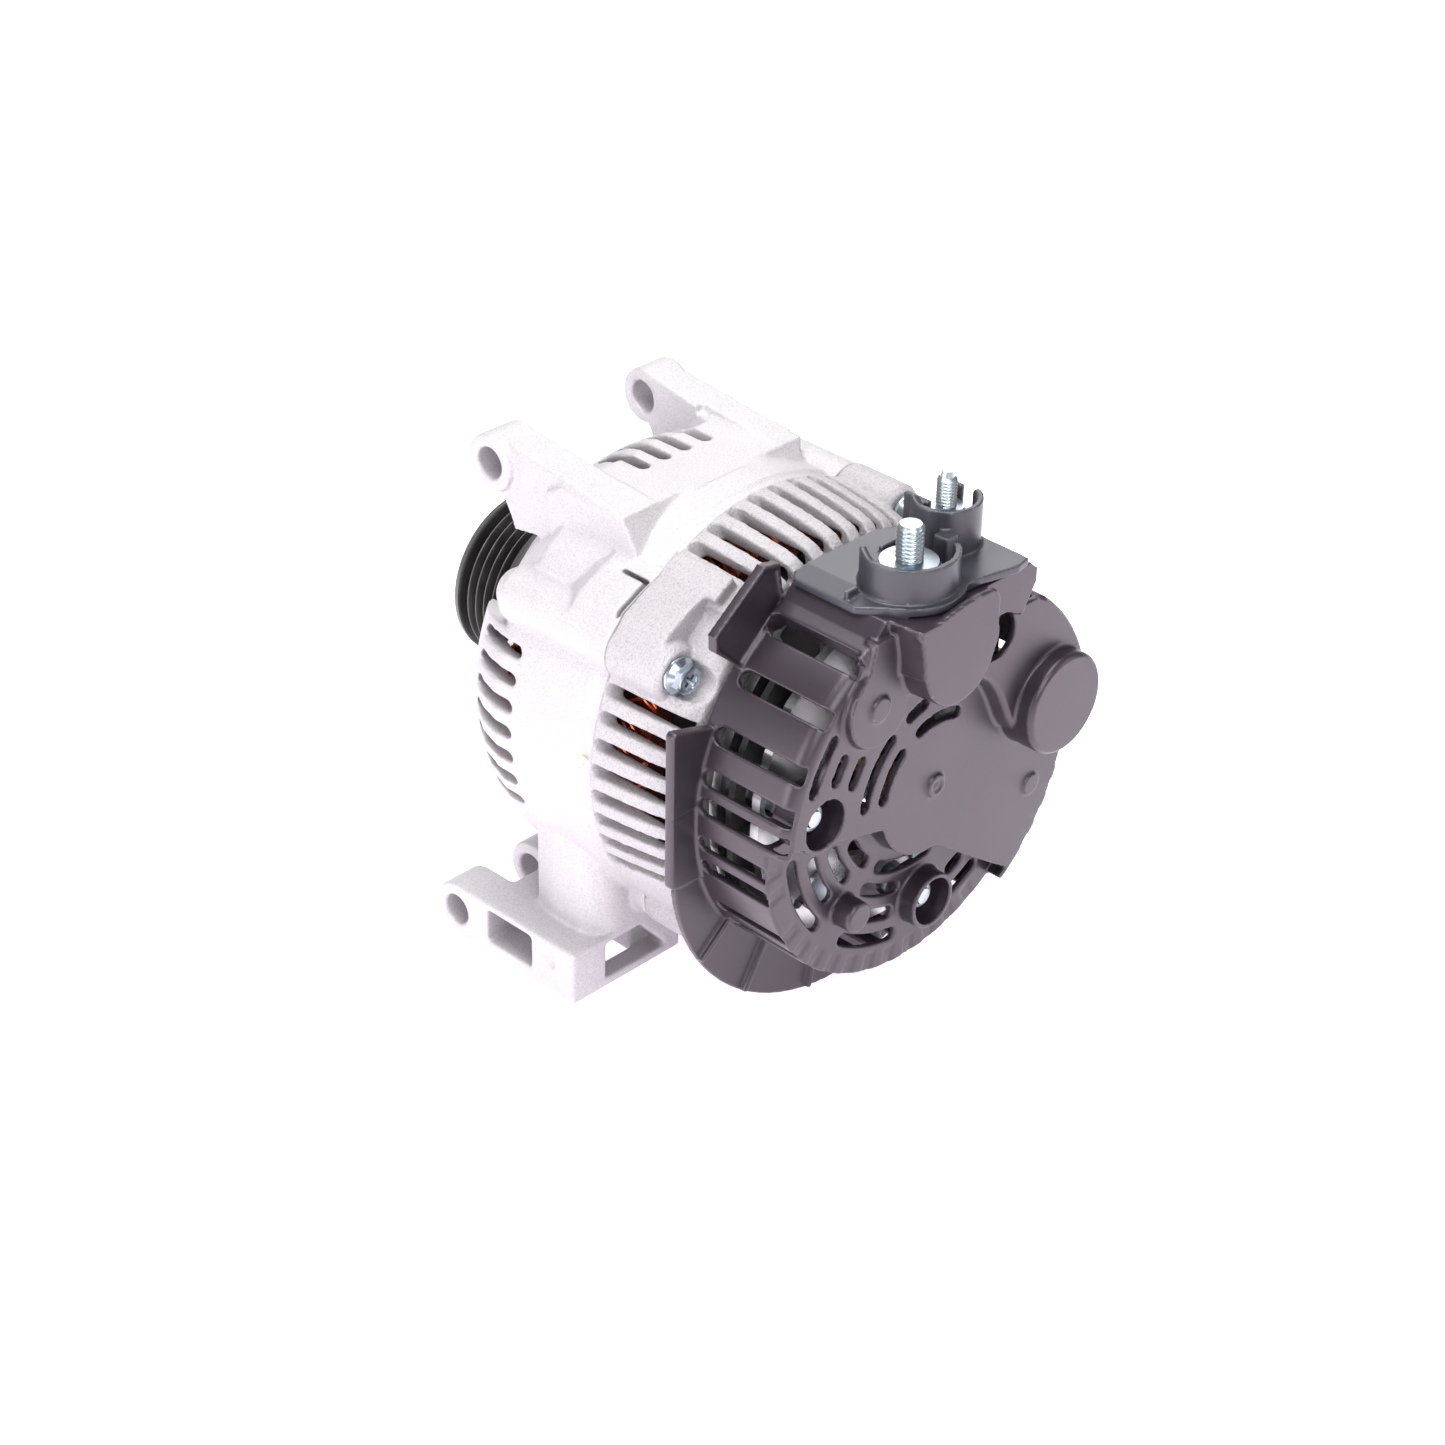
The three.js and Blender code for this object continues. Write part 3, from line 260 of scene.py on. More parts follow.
def moulded(solid, voxel, smooth, most_faces):
    """Rounds every edge as a casting or moulding is rounded, then thins the mesh."""
    mod = solid.modifiers.new("remesh", "REMESH")
    mod.mode, mod.voxel_size, mod.adaptivity = "VOXEL", voxel, 0
    settle(solid)
    mod = solid.modifiers.new("smooth", "SMOOTH")
    mod.factor, mod.iterations = 0.5, smooth
    settle(solid)
    triangles = 2 * len(solid.data.polygons)
    if triangles > most_faces:
        mod = solid.modifiers.new("thin", "DECIMATE")
        mod.ratio = most_faces / triangles
        settle(solid)
    return solid


def piece(solid, name, body, look, nodes=(), smooth_angle=40):
    """Puts a finished solid into the row frame as a named piece of a body."""
    solid.name = name
    solid.data.name = name
    solid.data.transform(TO_ROW)
    solid.data.materials.clear()
    solid.data.materials.append(look)
    for poly in solid.data.polygons:
        poly.use_smooth = True
    if smooth_angle < 180:
        solid.data.set_sharp_from_angle(angle=math.radians(smooth_angle))
    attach(solid, body)
    if nodes:
        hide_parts(*nodes)
    return solid


# ------------------------------------------------------------------ materials
def look(name, color, roughness, metallic=0.0, grain=None, tint=None, rough_spread=0.1, wear=None, dust=None,
         ior=1.5, sheen_tint=(1, 1, 1)):
    """A procedural surface: colour patches, fine grain in the relief, roughness variation and worn edges.
    grain is (size per metre, height in metres); tint is the second colour of the patches; sheen_tint colours
    the reflection."""
    mat = bpy.data.materials.new(name)
    mat.use_nodes = True
    nt = mat.node_tree
    bsdf = nt.nodes["Principled BSDF"]
    links = nt.links
    coord = nt.nodes.new("ShaderNodeTexCoord")
    patches = nt.nodes.new("ShaderNodeTexNoise")
    patches.inputs["Scale"].default_value = 38
    patches.inputs["Detail"].default_value = 6
    links.new(coord.outputs["Object"], patches.inputs["Vector"])
    mix = nt.nodes.new("ShaderNodeMix")
    mix.data_type = "RGBA"
    mix.inputs["A"].default_value = (*color, 1)
    mix.inputs["B"].default_value = (*(tint or [c * 0.9 for c in color]), 1)
    links.new(patches.outputs["Fac"], mix.inputs["Factor"])
    base = mix.outputs["Result"]
    fine = nt.nodes.new("ShaderNodeTexNoise")
    fine.inputs["Scale"].default_value = grain[0] if grain else 900
    fine.inputs["Detail"].default_value = 4
    fine.inputs["Roughness"].default_value = 0.7
    links.new(coord.outputs["Object"], fine.inputs["Vector"])
    if dust:
        spots = nt.nodes.new("ShaderNodeMix")
        spots.data_type = "RGBA"
        ramp = nt.nodes.new("ShaderNodeMapRange")
        ramp.inputs["From Min"].default_value, ramp.inputs["From Max"].default_value = 0.45, 0.75
        ramp.inputs["To Max"].default_value = dust[1]
        links.new(fine.outputs["Fac"], ramp.inputs["Value"])
        links.new(ramp.outputs["Result"], spots.inputs["Factor"])
        links.new(base, spots.inputs["A"])
        spots.inputs["B"].default_value = (*dust[0], 1)
        base = spots.outputs["Result"]
    if wear:
        geometry = nt.nodes.new("ShaderNodeNewGeometry")
        edge = nt.nodes.new("ShaderNodeMapRange")
        edge.inputs["From Min"].default_value, edge.inputs["From Max"].default_value = 0.52, 0.62
        edge.inputs["To Max"].default_value = wear[1]
        links.new(geometry.outputs["Pointiness"], edge.inputs["Value"])
        worn = nt.nodes.new("ShaderNodeMix")
        worn.data_type = "RGBA"
        links.new(edge.outputs["Result"], worn.inputs["Factor"])
        links.new(base, worn.inputs["A"])
        worn.inputs["B"].default_value = (*wear[0], 1)
        base = worn.outputs["Result"]
    links.new(base, bsdf.inputs["Base Color"])
    spread = nt.nodes.new("ShaderNodeMapRange")
    spread.inputs["To Min"].default_value = roughness - rough_spread
    spread.inputs["To Max"].default_value = roughness + rough_spread
    links.new(patches.outputs["Fac"], spread.inputs["Value"])
    links.new(spread.outputs["Result"], bsdf.inputs["Roughness"])
    bsdf.inputs["Metallic"].default_value = metallic
    bsdf.inputs["IOR"].default_value = ior
    bsdf.inputs["Specular Tint"].default_value = (*sheen_tint, 1)
    bump = nt.nodes.new("ShaderNodeBump")
    bump.inputs["Strength"].default_value = 1
    bump.inputs["Distance"].default_value = grain[1] if grain else 0.00001
    links.new(fine.outputs["Fac"], bump.inputs["Height"])
    links.new(bump.outputs["Normal"], bsdf.inputs["Normal"])
    return mat


CAST = look("cast_aluminium_grain", (0.57, 0.55, 0.57), 0.5, 0.45, grain=(1700, 0.00030),
            tint=(0.50, 0.48, 0.50), dust=((0.32, 0.30, 0.32), 0.75))
# The rear housing's cast aluminium has real as-cast grain and dust. Its base, tint and spots are darker than
# CAST's to paint the shade that the cover's flange casts on the fins.
FIN_CAST_SHADED = look("fin_aluminium_grain_and_painted_shade", (0.54, 0.52, 0.54), 0.5, 0.45, grain=(1600, 0.00045),
                tint=(0.44, 0.42, 0.44), dust=((0.26, 0.245, 0.26), 0.85))
COVER = look("cover_moulded", (0.021, 0.015, 0.021), 0.36, 0, grain=(2600, 0.00003),
             tint=(0.016, 0.011, 0.015), rough_spread=0.05, wear=((0.13, 0.12, 0.125), 0.5), ior=1.62,
             sheen_tint=(1.0, 0.90, 1.0))
BLOCK = look("terminal_moulded", (0.034, 0.034, 0.044), 0.36, 0, grain=(2200, 0.00003),
             tint=(0.026, 0.026, 0.034), rough_spread=0.06, wear=((0.15, 0.16, 0.17), 0.5), ior=1.6,
             sheen_tint=(0.97, 0.95, 1.0))
ZINC = look("zinc_plate", (0.44, 0.52, 0.61), 0.32, 1, grain=(1800, 0.00001), tint=(0.52, 0.56, 0.56))
STEEL = look("turned_steel", (0.62, 0.62, 0.64), 0.28, 1, grain=(1400, 0.00001))
DARK_STEEL = look("forged_steel", (0.13, 0.125, 0.12), 0.5, 0.8, grain=(700, 0.00008))
LAMINATED = look("lamination_steel", (0.30, 0.29, 0.28), 0.45, 0.8, grain=(900, 0.00004))
COPPER = look("enamelled_copper", (0.34, 0.06, 0.02), 0.3, 0.7, grain=(900, 0.0002),
              tint=(0.03, 0.008, 0.005), dust=((0.01, 0.005, 0.004), 0.9))
WIRE = look("copper_wire", (0.62, 0.15, 0.06), 0.28, 0.8, grain=(900, 0.00002), tint=(0.40, 0.08, 0.03))
PAINT = look("paint_marker", (0.92, 0.86, 0.30), 0.6, 0, grain=(1800, 0.00002), tint=(0.93, 0.90, 0.55))
BARE_COPPER = look("bare_copper", (0.80, 0.42, 0.26), 0.25, 1, grain=(1100, 0.00002))
BLACK = look("pulley_black", (0.011, 0.010, 0.010), 0.30, 0.1, grain=(1300, 0.00002),
             wear=((0.38, 0.36, 0.35), 0.8))
BOARD = look("board_moulded", (0.030, 0.030, 0.032), 0.45, 0, grain=(1500, 0.00003))
SINK = look("stamped_aluminium", (0.80, 0.80, 0.81), 0.3, 1, grain=(900, 0.00002))
CARBON = look("pressed_carbon", (0.03, 0.028, 0.027), 0.6, 0.2, grain=(1600, 0.00003))
BALLS = look("polished_steel", (0.75, 0.75, 0.77), 0.12, 1, grain=(500, 0.000002), rough_spread=0.04)


# ------------------------------------------------------------------ front housing
HOUSING_R = 68.5
SPLIT_Y = 70.0
BOLT_R = 67.0
BOLT_ANGLES = (55, 145, 235, 325)
FRONT_PITCH = 7.2


def front_housing():
    shell = turned([
        (0, SPLIT_Y + 0.3), (67.6, SPLIT_Y + 0.3), (67.6, 73), (HOUSING_R, 74.2), (HOUSING_R, 110), (66, 118),
        (62, 125), (57, 131), (51, 136.5), (45, 140.5), (38, 143), (30.5, 144.4), (29.5, 147), (0, 147),
    ])
    # the shoulder is lower beside the near bolt, where it has no slots
    low = turned([
        (68.6, 111), (64, 115.5), (60, 121), (55, 127), (49, 133), (43, 137.2), (36, 140), (30, 141.5),
        (30, 150), (80, 150), (80, 111),
    ])
    cut(shell, boolean(low, sector(20, 90, 116, 154, 100, 160), "INTERSECT"))
    lugs = []
    for angle in BOLT_ANGLES:
        a, b = polar(BOLT_R - 2, angle)
        lugs.append(rod(Y, a, b, 9, SPLIT_Y + 0.3, 114))
        lugs.append(rod(Y, a, b, 9, 113.9, 119, r1=5.5))
    web = [polar(60, 124), polar(68.6, 124), polar(71, 131), polar(73.8, 138), polar(74, 144), polar(60, 144)]
    low_web = [polar(60, 124), polar(64, 124), polar(65, 131), polar(66, 138), polar(66, 144), polar(60, 144)]
    lugs.append(prism(Y, web, SPLIT_Y + 0.3, 88))
    lugs.append(prism(Y, web, 87.9, 100, low_web))
    join(shell, *lugs, ears(), foot())
    hollow = turned([
        (0, 60), (63, 60), (63, 104), (61, 113), (58, 119), (52, 127), (45, 132.5), (36, 136), (30.5, 137),
        (30, 132), (23.8, 132), (23.8, 146.4), (20, 146.4), (20, 150), (0, 150),
    ])
    cut(shell, hollow, block((-24.5, 24.5), (83.5, 118), (67.2, 72)))
    slots = []
    for i in range(50):
        angle = 7.2 + i * FRONT_PITCH
        near_lug = any(abs(angle - bolt) < 11 for bolt in BOLT_ANGLES)
        hidden = 205 < angle < 275 or 107 < angle < 130 or 50 < angle < 73
        if not near_lug and not hidden:
            slots.append(radial_slot(4.0, 52, 76, 103.3, 124.6, angle))
    cut(shell, gathered(slots))
    windows = [sector(32.5, 46, 30 * i - 10, 30 * i + 10, 130, 150) for i in range(12)]
    cut(shell, gathered(windows))
    # a tab that fills its notch over the split: open gaps along two edges, fine grooves along the others
    cut(shell, radial_block(1.4, 64, 80, 71, 82, 129.1), radial_block(13.4, 64, 80, 71, 72.5, 134.4),
        radial_block(0.9, 67.6, 80, 71.5, 82, 139.8), radial_block(13.4, 67.6, 80, 81.2, 82.1, 134.4))
    holes = [rod(Y, *polar(BOLT_R, angle), 2.8, 60, 105.5) for angle in BOLT_ANGLES]
    cut(shell, gathered(holes))
    cut(shell, rod(X, 143, 63, 5, -60, 60), rod(X, 128, -73.5, 5, -90, 0))
    return moulded(shell, 0.62, 5, 195000)


def ears():
    side = [(86, 50), (112, 48), (134, 44), (141, 55.5), (145, 63), (143, 71.6), (86, 67.2)]
    web_1 = prism(X, side, -60, 60)
    boolean(web_1, prism(Z, [(-40, 86), (-26, 86), (-24.5, 147), (-36.5, 147)], 40, 80), "INTERSECT")
    web_2 = prism(X, side, -60, 60)
    boolean(web_2, prism(Z, [(18, 86), (34, 86), (35.5, 147), (24.5, 147)], 40, 80), "INTERSECT")
    platform = prism(X, [(80.5, 50), (116, 50), (118, 63.5), (112, 67.2), (86.5, 67.2), (80.5, 58)], -40, 32)
    return join(platform, web_1, web_2, rod(X, 143, 63, 9, -39, -24.5), rod(X, 143, 63, 9, 24.5, 37))


def foot():
    low, high, back, tip = -82.4, -64.3, 76.0, 128.0
    legs = []
    for x0 in (-70, -39):
        legs.append(block((x0, x0 + 13.6), (back, tip), (low, high)))
        legs.append(rod(X, tip, -73.4, 9.05, x0, x0 + 13.6))
    walls = [
        block((-70, -25.4), (back, back + 7), (low, high)),
        block((-70, -25.4), (112, 117), (low, high)),
        block((-70, -25.4), (back, 117), (high - 2.6, high)),
        prism(X, [(90, high - 1), (106, high - 1), (98, -50), (96, -30), (90, -30)], -58, -28),
        prism(Z, arc(-50, 86, 10, 180, 270, 10) + [(-36, 76), (-30, 84), (-30, 104), (-58, 104), (-60, 95)],
              high - 1, -25),
    ]
    body = join(legs[0], *legs[1:], *walls)
    window = block((-71, -55.4), (94.5, 114), (-78, -66.8))
    rear = prism(Y, [(-56.4, -79.2), (-31, -79.2), (-42, -66.8), (-56.4, -66.8)], back - 1, back + 8)
    dimple = rod(X, 86.3, -71.9, 2.4, -72, -69.2)
    return cut(body, window, rear, dimple)


# ------------------------------------------------------------------ rear housing
SIDE_FINS = (155.6, 7.03, 8)
TOP_FINS = (115.5, -7.03, 8)
FAR_FINS = (-17, 9.2, 7)
LOW_FINS = (250, 8.3, 8)
NUTS = ((-45.8, 7.4), (3.2, -42.3))


def rear_housing():
    shell = turned([
        (0, 38), (58, 38), (62, 39), (64.6, 42), (66, 47), (67.3, 56), (68.3, 66), (HOUSING_R, SPLIT_Y),
        (0, SPLIT_Y),
    ])
    cut(shell, sector(64.8, 75, 127, 150, 30, 52.5))
    bosses = []
    for angle in BOLT_ANGLES:
        a, b = polar(BOLT_R - 1.5, angle)
        bosses.append(rod(Y, a, b, 9, 51, SPLIT_Y))
        bosses.append(rod(Y, a, b, 7.6, 49, 51.05, r1=9))
    ramp = prism(Y, arc(0, 0, 70.2, 119, 126) + arc(0, 0, 60, 126, 119), 48, SPLIT_Y)
    web = [
        polar(60, 126), polar(69.6, 126), polar(71.4, 131), polar(73.8, 138), polar(74, 144), polar(60, 144),
    ]
    join(shell, *bosses, ramp, prism(Y, web, 52.5, SPLIT_Y), rod(Y, 0, 0, 22, 30, 39, 96))
    cut(shell, rod(Y, 0, 0, 62.6, 43.2, 90, 180), rod(Y, 0, 0, 17.8, 29, 45, 96))
    fins = []
    for first, pitch, count in (SIDE_FINS, TOP_FINS, FAR_FINS, LOW_FINS):
        fins += [radial_slot(2.8, 58.6, 80, 30, 65.4, first + i * pitch, 1.9, 9.6) for i in range(count)]
    cut(shell, gathered(fins))
    windows = [sector(26, 50, 36 * i - 12, 36 * i + 12, 28, 46) for i in range(10)]
    cut(shell, gathered(windows))
    join(shell, *[rod(Y, a, b, 5, 34, 44) for a, b in NUTS])
    for angle in BOLT_ANGLES:
        wall = rod(Y, *polar(BOLT_R - 3.4, angle), 7.2, 43.3, 50)
        join(shell, boolean(wall, rod(Y, 0, 0, 64.6, 40, 52, 120), "INTERSECT"))
    pockets = [rod(Y, *polar(BOLT_R, angle), 6.0, 34, 49) for angle in BOLT_ANGLES]
    holes = [rod(Y, *polar(BOLT_R, angle), 2.8, 48, 80) for angle in BOLT_ANGLES]
    holes += [rod(Y, a, b, 2.8, 30, 46) for a, b in NUTS]
    cut(shell, gathered(pockets), gathered(holes))
    return moulded(shell, 0.55, 5, 190000)


# ------------------------------------------------------------------ rear cover
COVER_R = 62.5
WALL = 2.2
SECTOR_Y = 6.6
SECTOR = (176.0, 308.5)
FACE_RINGS = (22.3, 30.1, 38.5, 46.7, 55.0)
FACE_SLOTS = ((4, 142.5, 158.5), (3, 147, 154.5), (2, 145.8, 155.8), (1, 130, 169.5), (0, 132, 168),
              (0, 69, 109), (1, 101.5, 113))
SECTOR_RINGS = (28.8, 36.0, 44.0, 52.0)
SECTOR_SLOTS = ((3, 188, 217.5), (3, 236, 261), (2, 193.5, 213.5), (2, 245, 257), (1, 197, 216),
                (1, 236.5, 258.5), (0, 205, 223), (0, 240, 283), (2, 293.5, 298.5), (3, 292, 302))
BARREL_SLOTS = (123, 138.3, 154.1, 166, 174)
LOW_BARREL_SLOTS = (185.3, 193.3, 210, 218.6, 227.2, 235.8, 244.4, 253, 261.6, 270.2, 278.8,
                    287.4, 296)
RIM_SLOTS = (44.5, 35.7)
CAP = (42.9, 13.5)
FAR_BARREL_SLOTS = (9.5, 0.9, -7.7, -16.3, -24.9, -33.5, -42.1)
RAISED_Y = -6.0
SKIRT_Y = 36.6


def plateau(r, drop_in=0.0):
    d0, d1 = SECTOR
    outline = arc(0, 0, r, d1 - 360, d0)
    outline += [(-22.5, -5.6 + drop_in), *arc(0, 0, 22 - drop_in, 196, 276)]
    return outline


def raised_outline(inset, spread=0.0):
    """The raised face between the cap and the terminals; its left edge is an S-curve down to the cap."""
    bend = curve([
        (2, 41), (7, 36.2), (11.1, 32.8), (15.8, 29), (19.3, 24.2), (22.3, 18.4), (24.6, 13.5), (27.5, 9),
    ])
    edge = [(a + inset - spread, b + inset * 0.7 - spread * 0.8) for a, b in bend]
    return edge + [(41.8, 9 + inset), *arc(0, 0, 61.8 - inset, 17, 52 - inset), (34, 50), (9.5, 52)]


def rear_cover():
    barrel = turned([
        (58.6, 0), (59.8, 0.2), (61.0, 0.9), (61.9, 1.9), (62.4, 3.2), (COVER_R, 4.2), (COVER_R, SKIRT_Y),
        (COVER_R - WALL, SKIRT_Y), (COVER_R - WALL, WALL), (58.6, WALL),
    ], 240)
    low_cut = rod(Y, 0, 0, 70, -3, SECTOR_Y, 120)
    cut(low_cut, prism(Y, plateau(80), -4, 20))
    cut(low_cut, rod(Y, 0, 0, 15, -5, 20))
    cut(barrel, low_cut)
    face = prism(Y, plateau(COVER_R - 3.4), 0, WALL)
    floor = rod(Y, 0, 0, COVER_R - 0.4, SECTOR_Y, SECTOR_Y + WALL, 160)
    cut(floor, prism(Y, plateau(COVER_R - 3), SECTOR_Y - 1, 20))
    wall = prism(Y, plateau(COVER_R - 2.4), 0.5, SECTOR_Y + WALL)
    cut(wall, prism(Y, plateau(COVER_R - WALL - 1.6, 1.9), 0, 20))
    body = join(barrel, face, floor, wall)

    # the wide flange: a squared plate on the left, a skirt below about its own centre, a plate at the top
    left = [
        (-56, 28.4), (-70.4, 32.6), (-71.4, 32.2), (-71.8, 31), (-71.8, -17.5), (-71.4, -18.6), (-70.3, -19),
        (-60, -19.5),
    ]
    join(body, prism(Y, left + arc(0, 0, 61, 196, 154), SKIRT_Y - 3.2, SKIRT_Y))
    skirt = prism(Y, arc(3.5, -11, 73.6, 188, 300) + arc(0, 0, 70, 312, 330) + arc(0, 0, 61, 330, 186, 6),
                  SKIRT_Y - 2.2, SKIRT_Y)
    top = [(-44, 42), (-55.5, 52), (-56, 57), (-37, 71.5), (-31, 70.5), (-28, 54)]
    tray = [(-45.8, 44.2), (-54.3, 52.6), (-54.8, 56.6), (-36.8, 70), (-31.9, 69.2), (-29.6, 58)]
    join(body, skirt, prism(Y, top, SKIRT_Y - 3.2, SKIRT_Y))
    groove = block((-75, -63), (SKIRT_Y - 3.6, SKIRT_Y - 2.8), (4.6, 5.4))
    cut(body, prism(Y, tray, SKIRT_Y - 4, SKIRT_Y - 2.2), groove)
    for angle in (219.5, 239.5, 261, 283):
        reach = 72.9 + 3.5 * polar(1, angle)[0] - 11 * polar(1, angle)[1]
        join(body, radial_block(1.7, 61.4, reach, SKIRT_Y - 4, SKIRT_Y - 1, angle))

    # the flat-topped shelf under the terminals and the stepped ledges to its left
    shelf = [
        (-33, 50), (-32.5, 56), (-29.5, 60), (-25.5, SHELF_Z), (28, SHELF_Z), (32, 61.5), (35, 56), (34, 50),
    ]
    join(body, prism(Y, shelf, -1, 33))
    join(body, prism(Y, arc(0, 0, 66.6, 116.5, 122) + arc(0, 0, 60, 122, 116.5), -1, 33))
    join(body, prism(Y, arc(0, 0, 64.8, 121.5, 125) + arc(0, 0, 60, 125, 121.5), 0.5, 33))
    # the output terminal's housing: flat face, arched lip in front of the plate, round foot, a little draft
    high = SHELF_Z - 0.1
    foot_arc = arc(-5.9, 49.5, 14.3, 190, 335, 5)
    front = [(-23.4, high), (-21.4, 54.4), (-20.7, 48), *foot_arc, (9.6, 50), (9.3, 61.4), (8.4, high)]
    wide_arc = arc(-5.9, 49.5, 15, 190, 335, 5)
    flared = [(-24.6, high), (-22.4, 54.4), (-21.7, 47), *wide_arc, (9.6, 50), (9.3, 61.4), (8.4, high)]
    join(body, prism(Y, front, B_PLUS_Y, -1, flared), prism(Y, flared, -1.1, 4))
    lip = curve([
        (-23.4, 61), (-22.6, 63.2), (-15, 64.6), (-8, 65.9), (-2, 66.5), (4, 66.3), (8, 65.2), (9.4, 61.4),
    ])
    join(body, prism(Y, lip, B_PLUS_Y, B_PLUS_Y + 2.3))
    # the small terminal's tab, and the raised face below it that runs down to the cap
    tab = [(7, 50), (21, 50.5), (26, 48.5), (31, 57), (31, 61.5), (28, high), (7, high)]
    join(body, prism(Y, tab, -7, 3))
    join(body, prism(Y, raised_outline(0.9), RAISED_Y, RAISED_Y + 1.2, raised_outline(0)),
         prism(Y, raised_outline(0), RAISED_Y + 1.19, 1, raised_outline(0, 0.8)))
    lobe = [*arc(-28, 39, 12.3, 125, 325, 5), (-15, 50), (-15, 60), (-31, 60), (-33, 52)]
    flare = [*arc(-27.4, 38, 12.9, 125, 325, 5), (-15, 50), (-15, 60), (-31, 60), (-33.6, 52)]
    join(body, prism(Y, lobe, -3, 1, flare))
    join(body, rod(Y, -29, 39, 3.8, -4, 0), rod(Y, 44, -19.4, 3.4, -1, 1), rod(Y, *CAP, 15.9, -10.9, 2, 96),
         rod(Y, *CAP, 14.9, -12, -10.85, 96, r1=15.9))
    ring = cut(rod(Y, 0, 0, 3.6, -1.3, 1), rod(Y, 0, 0, 2.0, -2, -0.6))
    join(body, ring, rod(Y, 0, 0, 0.9, -1.1, 0))
    join(body, rod(Y, -30, -31.5, 4.8, 0.1, SECTOR_Y + 1, r1=5.0), rod(Y, -30, -31.5, 4.2, -0.5, 0.2))
    join(body, rod(Y, *NUTS[0], 9.4, 0.4, 12), rod(Y, *NUTS[1], 8.8, 0.4, 12, r1=9.1))

    recess = cut(rod(Y, 16.8, 44.5, 7.5, -9, 3), block((0, 9.6), (-12, 12), (30, 60)))
    inner_arc = arc(-5.9, 49.5, 12.1, 190, 335, 8)
    hollows = [
        prism(Y, [(-30.5, 40), (-30, 55), (-27, 59), (-23.5, 62), (27, 62), (31, 56), (31, 40)], WALL, 34),
        prism(Y, [(-20.8, 61), (-19.4, 49), *inner_arc, (7, 52), (6.8, 61)], B_PLUS_Y + WALL, 3),
        prism(Y, raised_outline(2.2), RAISED_Y + WALL, 3),
        block((9.5, 28), (-4.8, 4), (51, 62)),
        rod(Y, *CAP, 13.4, -9.8, 4),
        recess,
        rod(Z, -8, 7, 7, 50, 70), rod(Z, 16, 15, 5, 50, 70),
    ]
    for (a, b), r in zip(NUTS, (7.7, 7.4)):
        hollows += [rod(Y, a, b, r, -8, 9.6), rod(Y, a, b, 2.8, 5, 14)]
    cut(body, *hollows)

    face_slots = [arc_slot(FACE_RINGS[k], d0, d1, 3.7, -4, 5) for k, d0, d1 in FACE_SLOTS]
    sector_slots = [arc_slot(SECTOR_RINGS[k], d0, d1, 4.0, 5, 12) for k, d0, d1 in SECTOR_SLOTS]
    cut(body, gathered(face_slots), gathered(sector_slots))
    barrel_slots = [arched_slot(5.3, 55, 72, 0.6, 33, angle) for angle in BARREL_SLOTS]
    barrel_slots += [arched_slot(4.9, 56, 72, 7.0, 32.6, angle) for angle in LOW_BARREL_SLOTS]
    barrel_slots += [arched_slot(4.9, 57, 72, 0.4, 32.6, angle) for angle in FAR_BARREL_SLOTS]
    barrel_slots += [arched_slot(5.0, 57, 72, -4.4, 32.6, angle) for angle in RIM_SLOTS]
    cut(body, gathered(barrel_slots))
    return moulded(body, 0.5, 4, 195000)


# ------------------------------------------------------------------ terminals
SHELF_Z = 64.2
B_PLUS_Y = -12.0
PLATE = (64.5, 67.0)
B_PLUS = {"x": -8.0, "y": 7.0, "r": 4.0, "guard": 14.2, "wall": 1.8, "height": 10.4, "horn": 2.6,
          "span": (145, 332), "seat": 6.5, "length": 11.2, "point": 0, "pitch": 1.25}
SIGNAL = {"x": 16.0, "y": 15.0, "r": 3.0, "guard": 10.4, "wall": 1.6, "height": 14.4, "horn": 2.0,
          "span": (145, 345), "seat": 11.4, "length": 10.8, "point": 1.8, "pitch": 1.0}
GUARD_EDGE = 1.6


def guard(t):
    """An open round wall with rounded ends, its rim a little higher at the first end."""
    outer, inner = t["guard"], t["guard"] - t["wall"]
    d0, d1 = t["span"]
    steps = 60
    points, faces = [], []
    for i in range(steps + 1):
        run = math.radians(min(i, steps - i) * (d1 - d0) / steps) * outer
        rounding = GUARD_EDGE - math.sqrt(max(0.0, GUARD_EDGE ** 2 - max(0.0, GUARD_EDGE - run) ** 2))
        horn = t["horn"] * max(0.0, 1 - i / steps / 0.16) ** 1.5
        top = PLATE[1] + t["height"] + horn - rounding
        for r in (outer, inner):
            a, b = polar(r, d0 + (d1 - d0) * i / steps)
            points += [(t["x"] + a, t["y"] + b, PLATE[1] - 0.6), (t["x"] + a, t["y"] + b, top)]
    for i in range(steps):
        k, n = 4 * i, 4 * (i + 1)
        faces += [[k, n, n + 1, k + 1], [k + 2, k + 3, n + 3, n + 2]]
        faces += [[k + 1, n + 1, n + 3, k + 3], [k, k + 2, n + 2, n]]
    faces += [[0, 1, 3, 2], [4 * steps, 4 * steps + 2, 4 * steps + 3, 4 * steps + 1]]
    return make(points, faces)


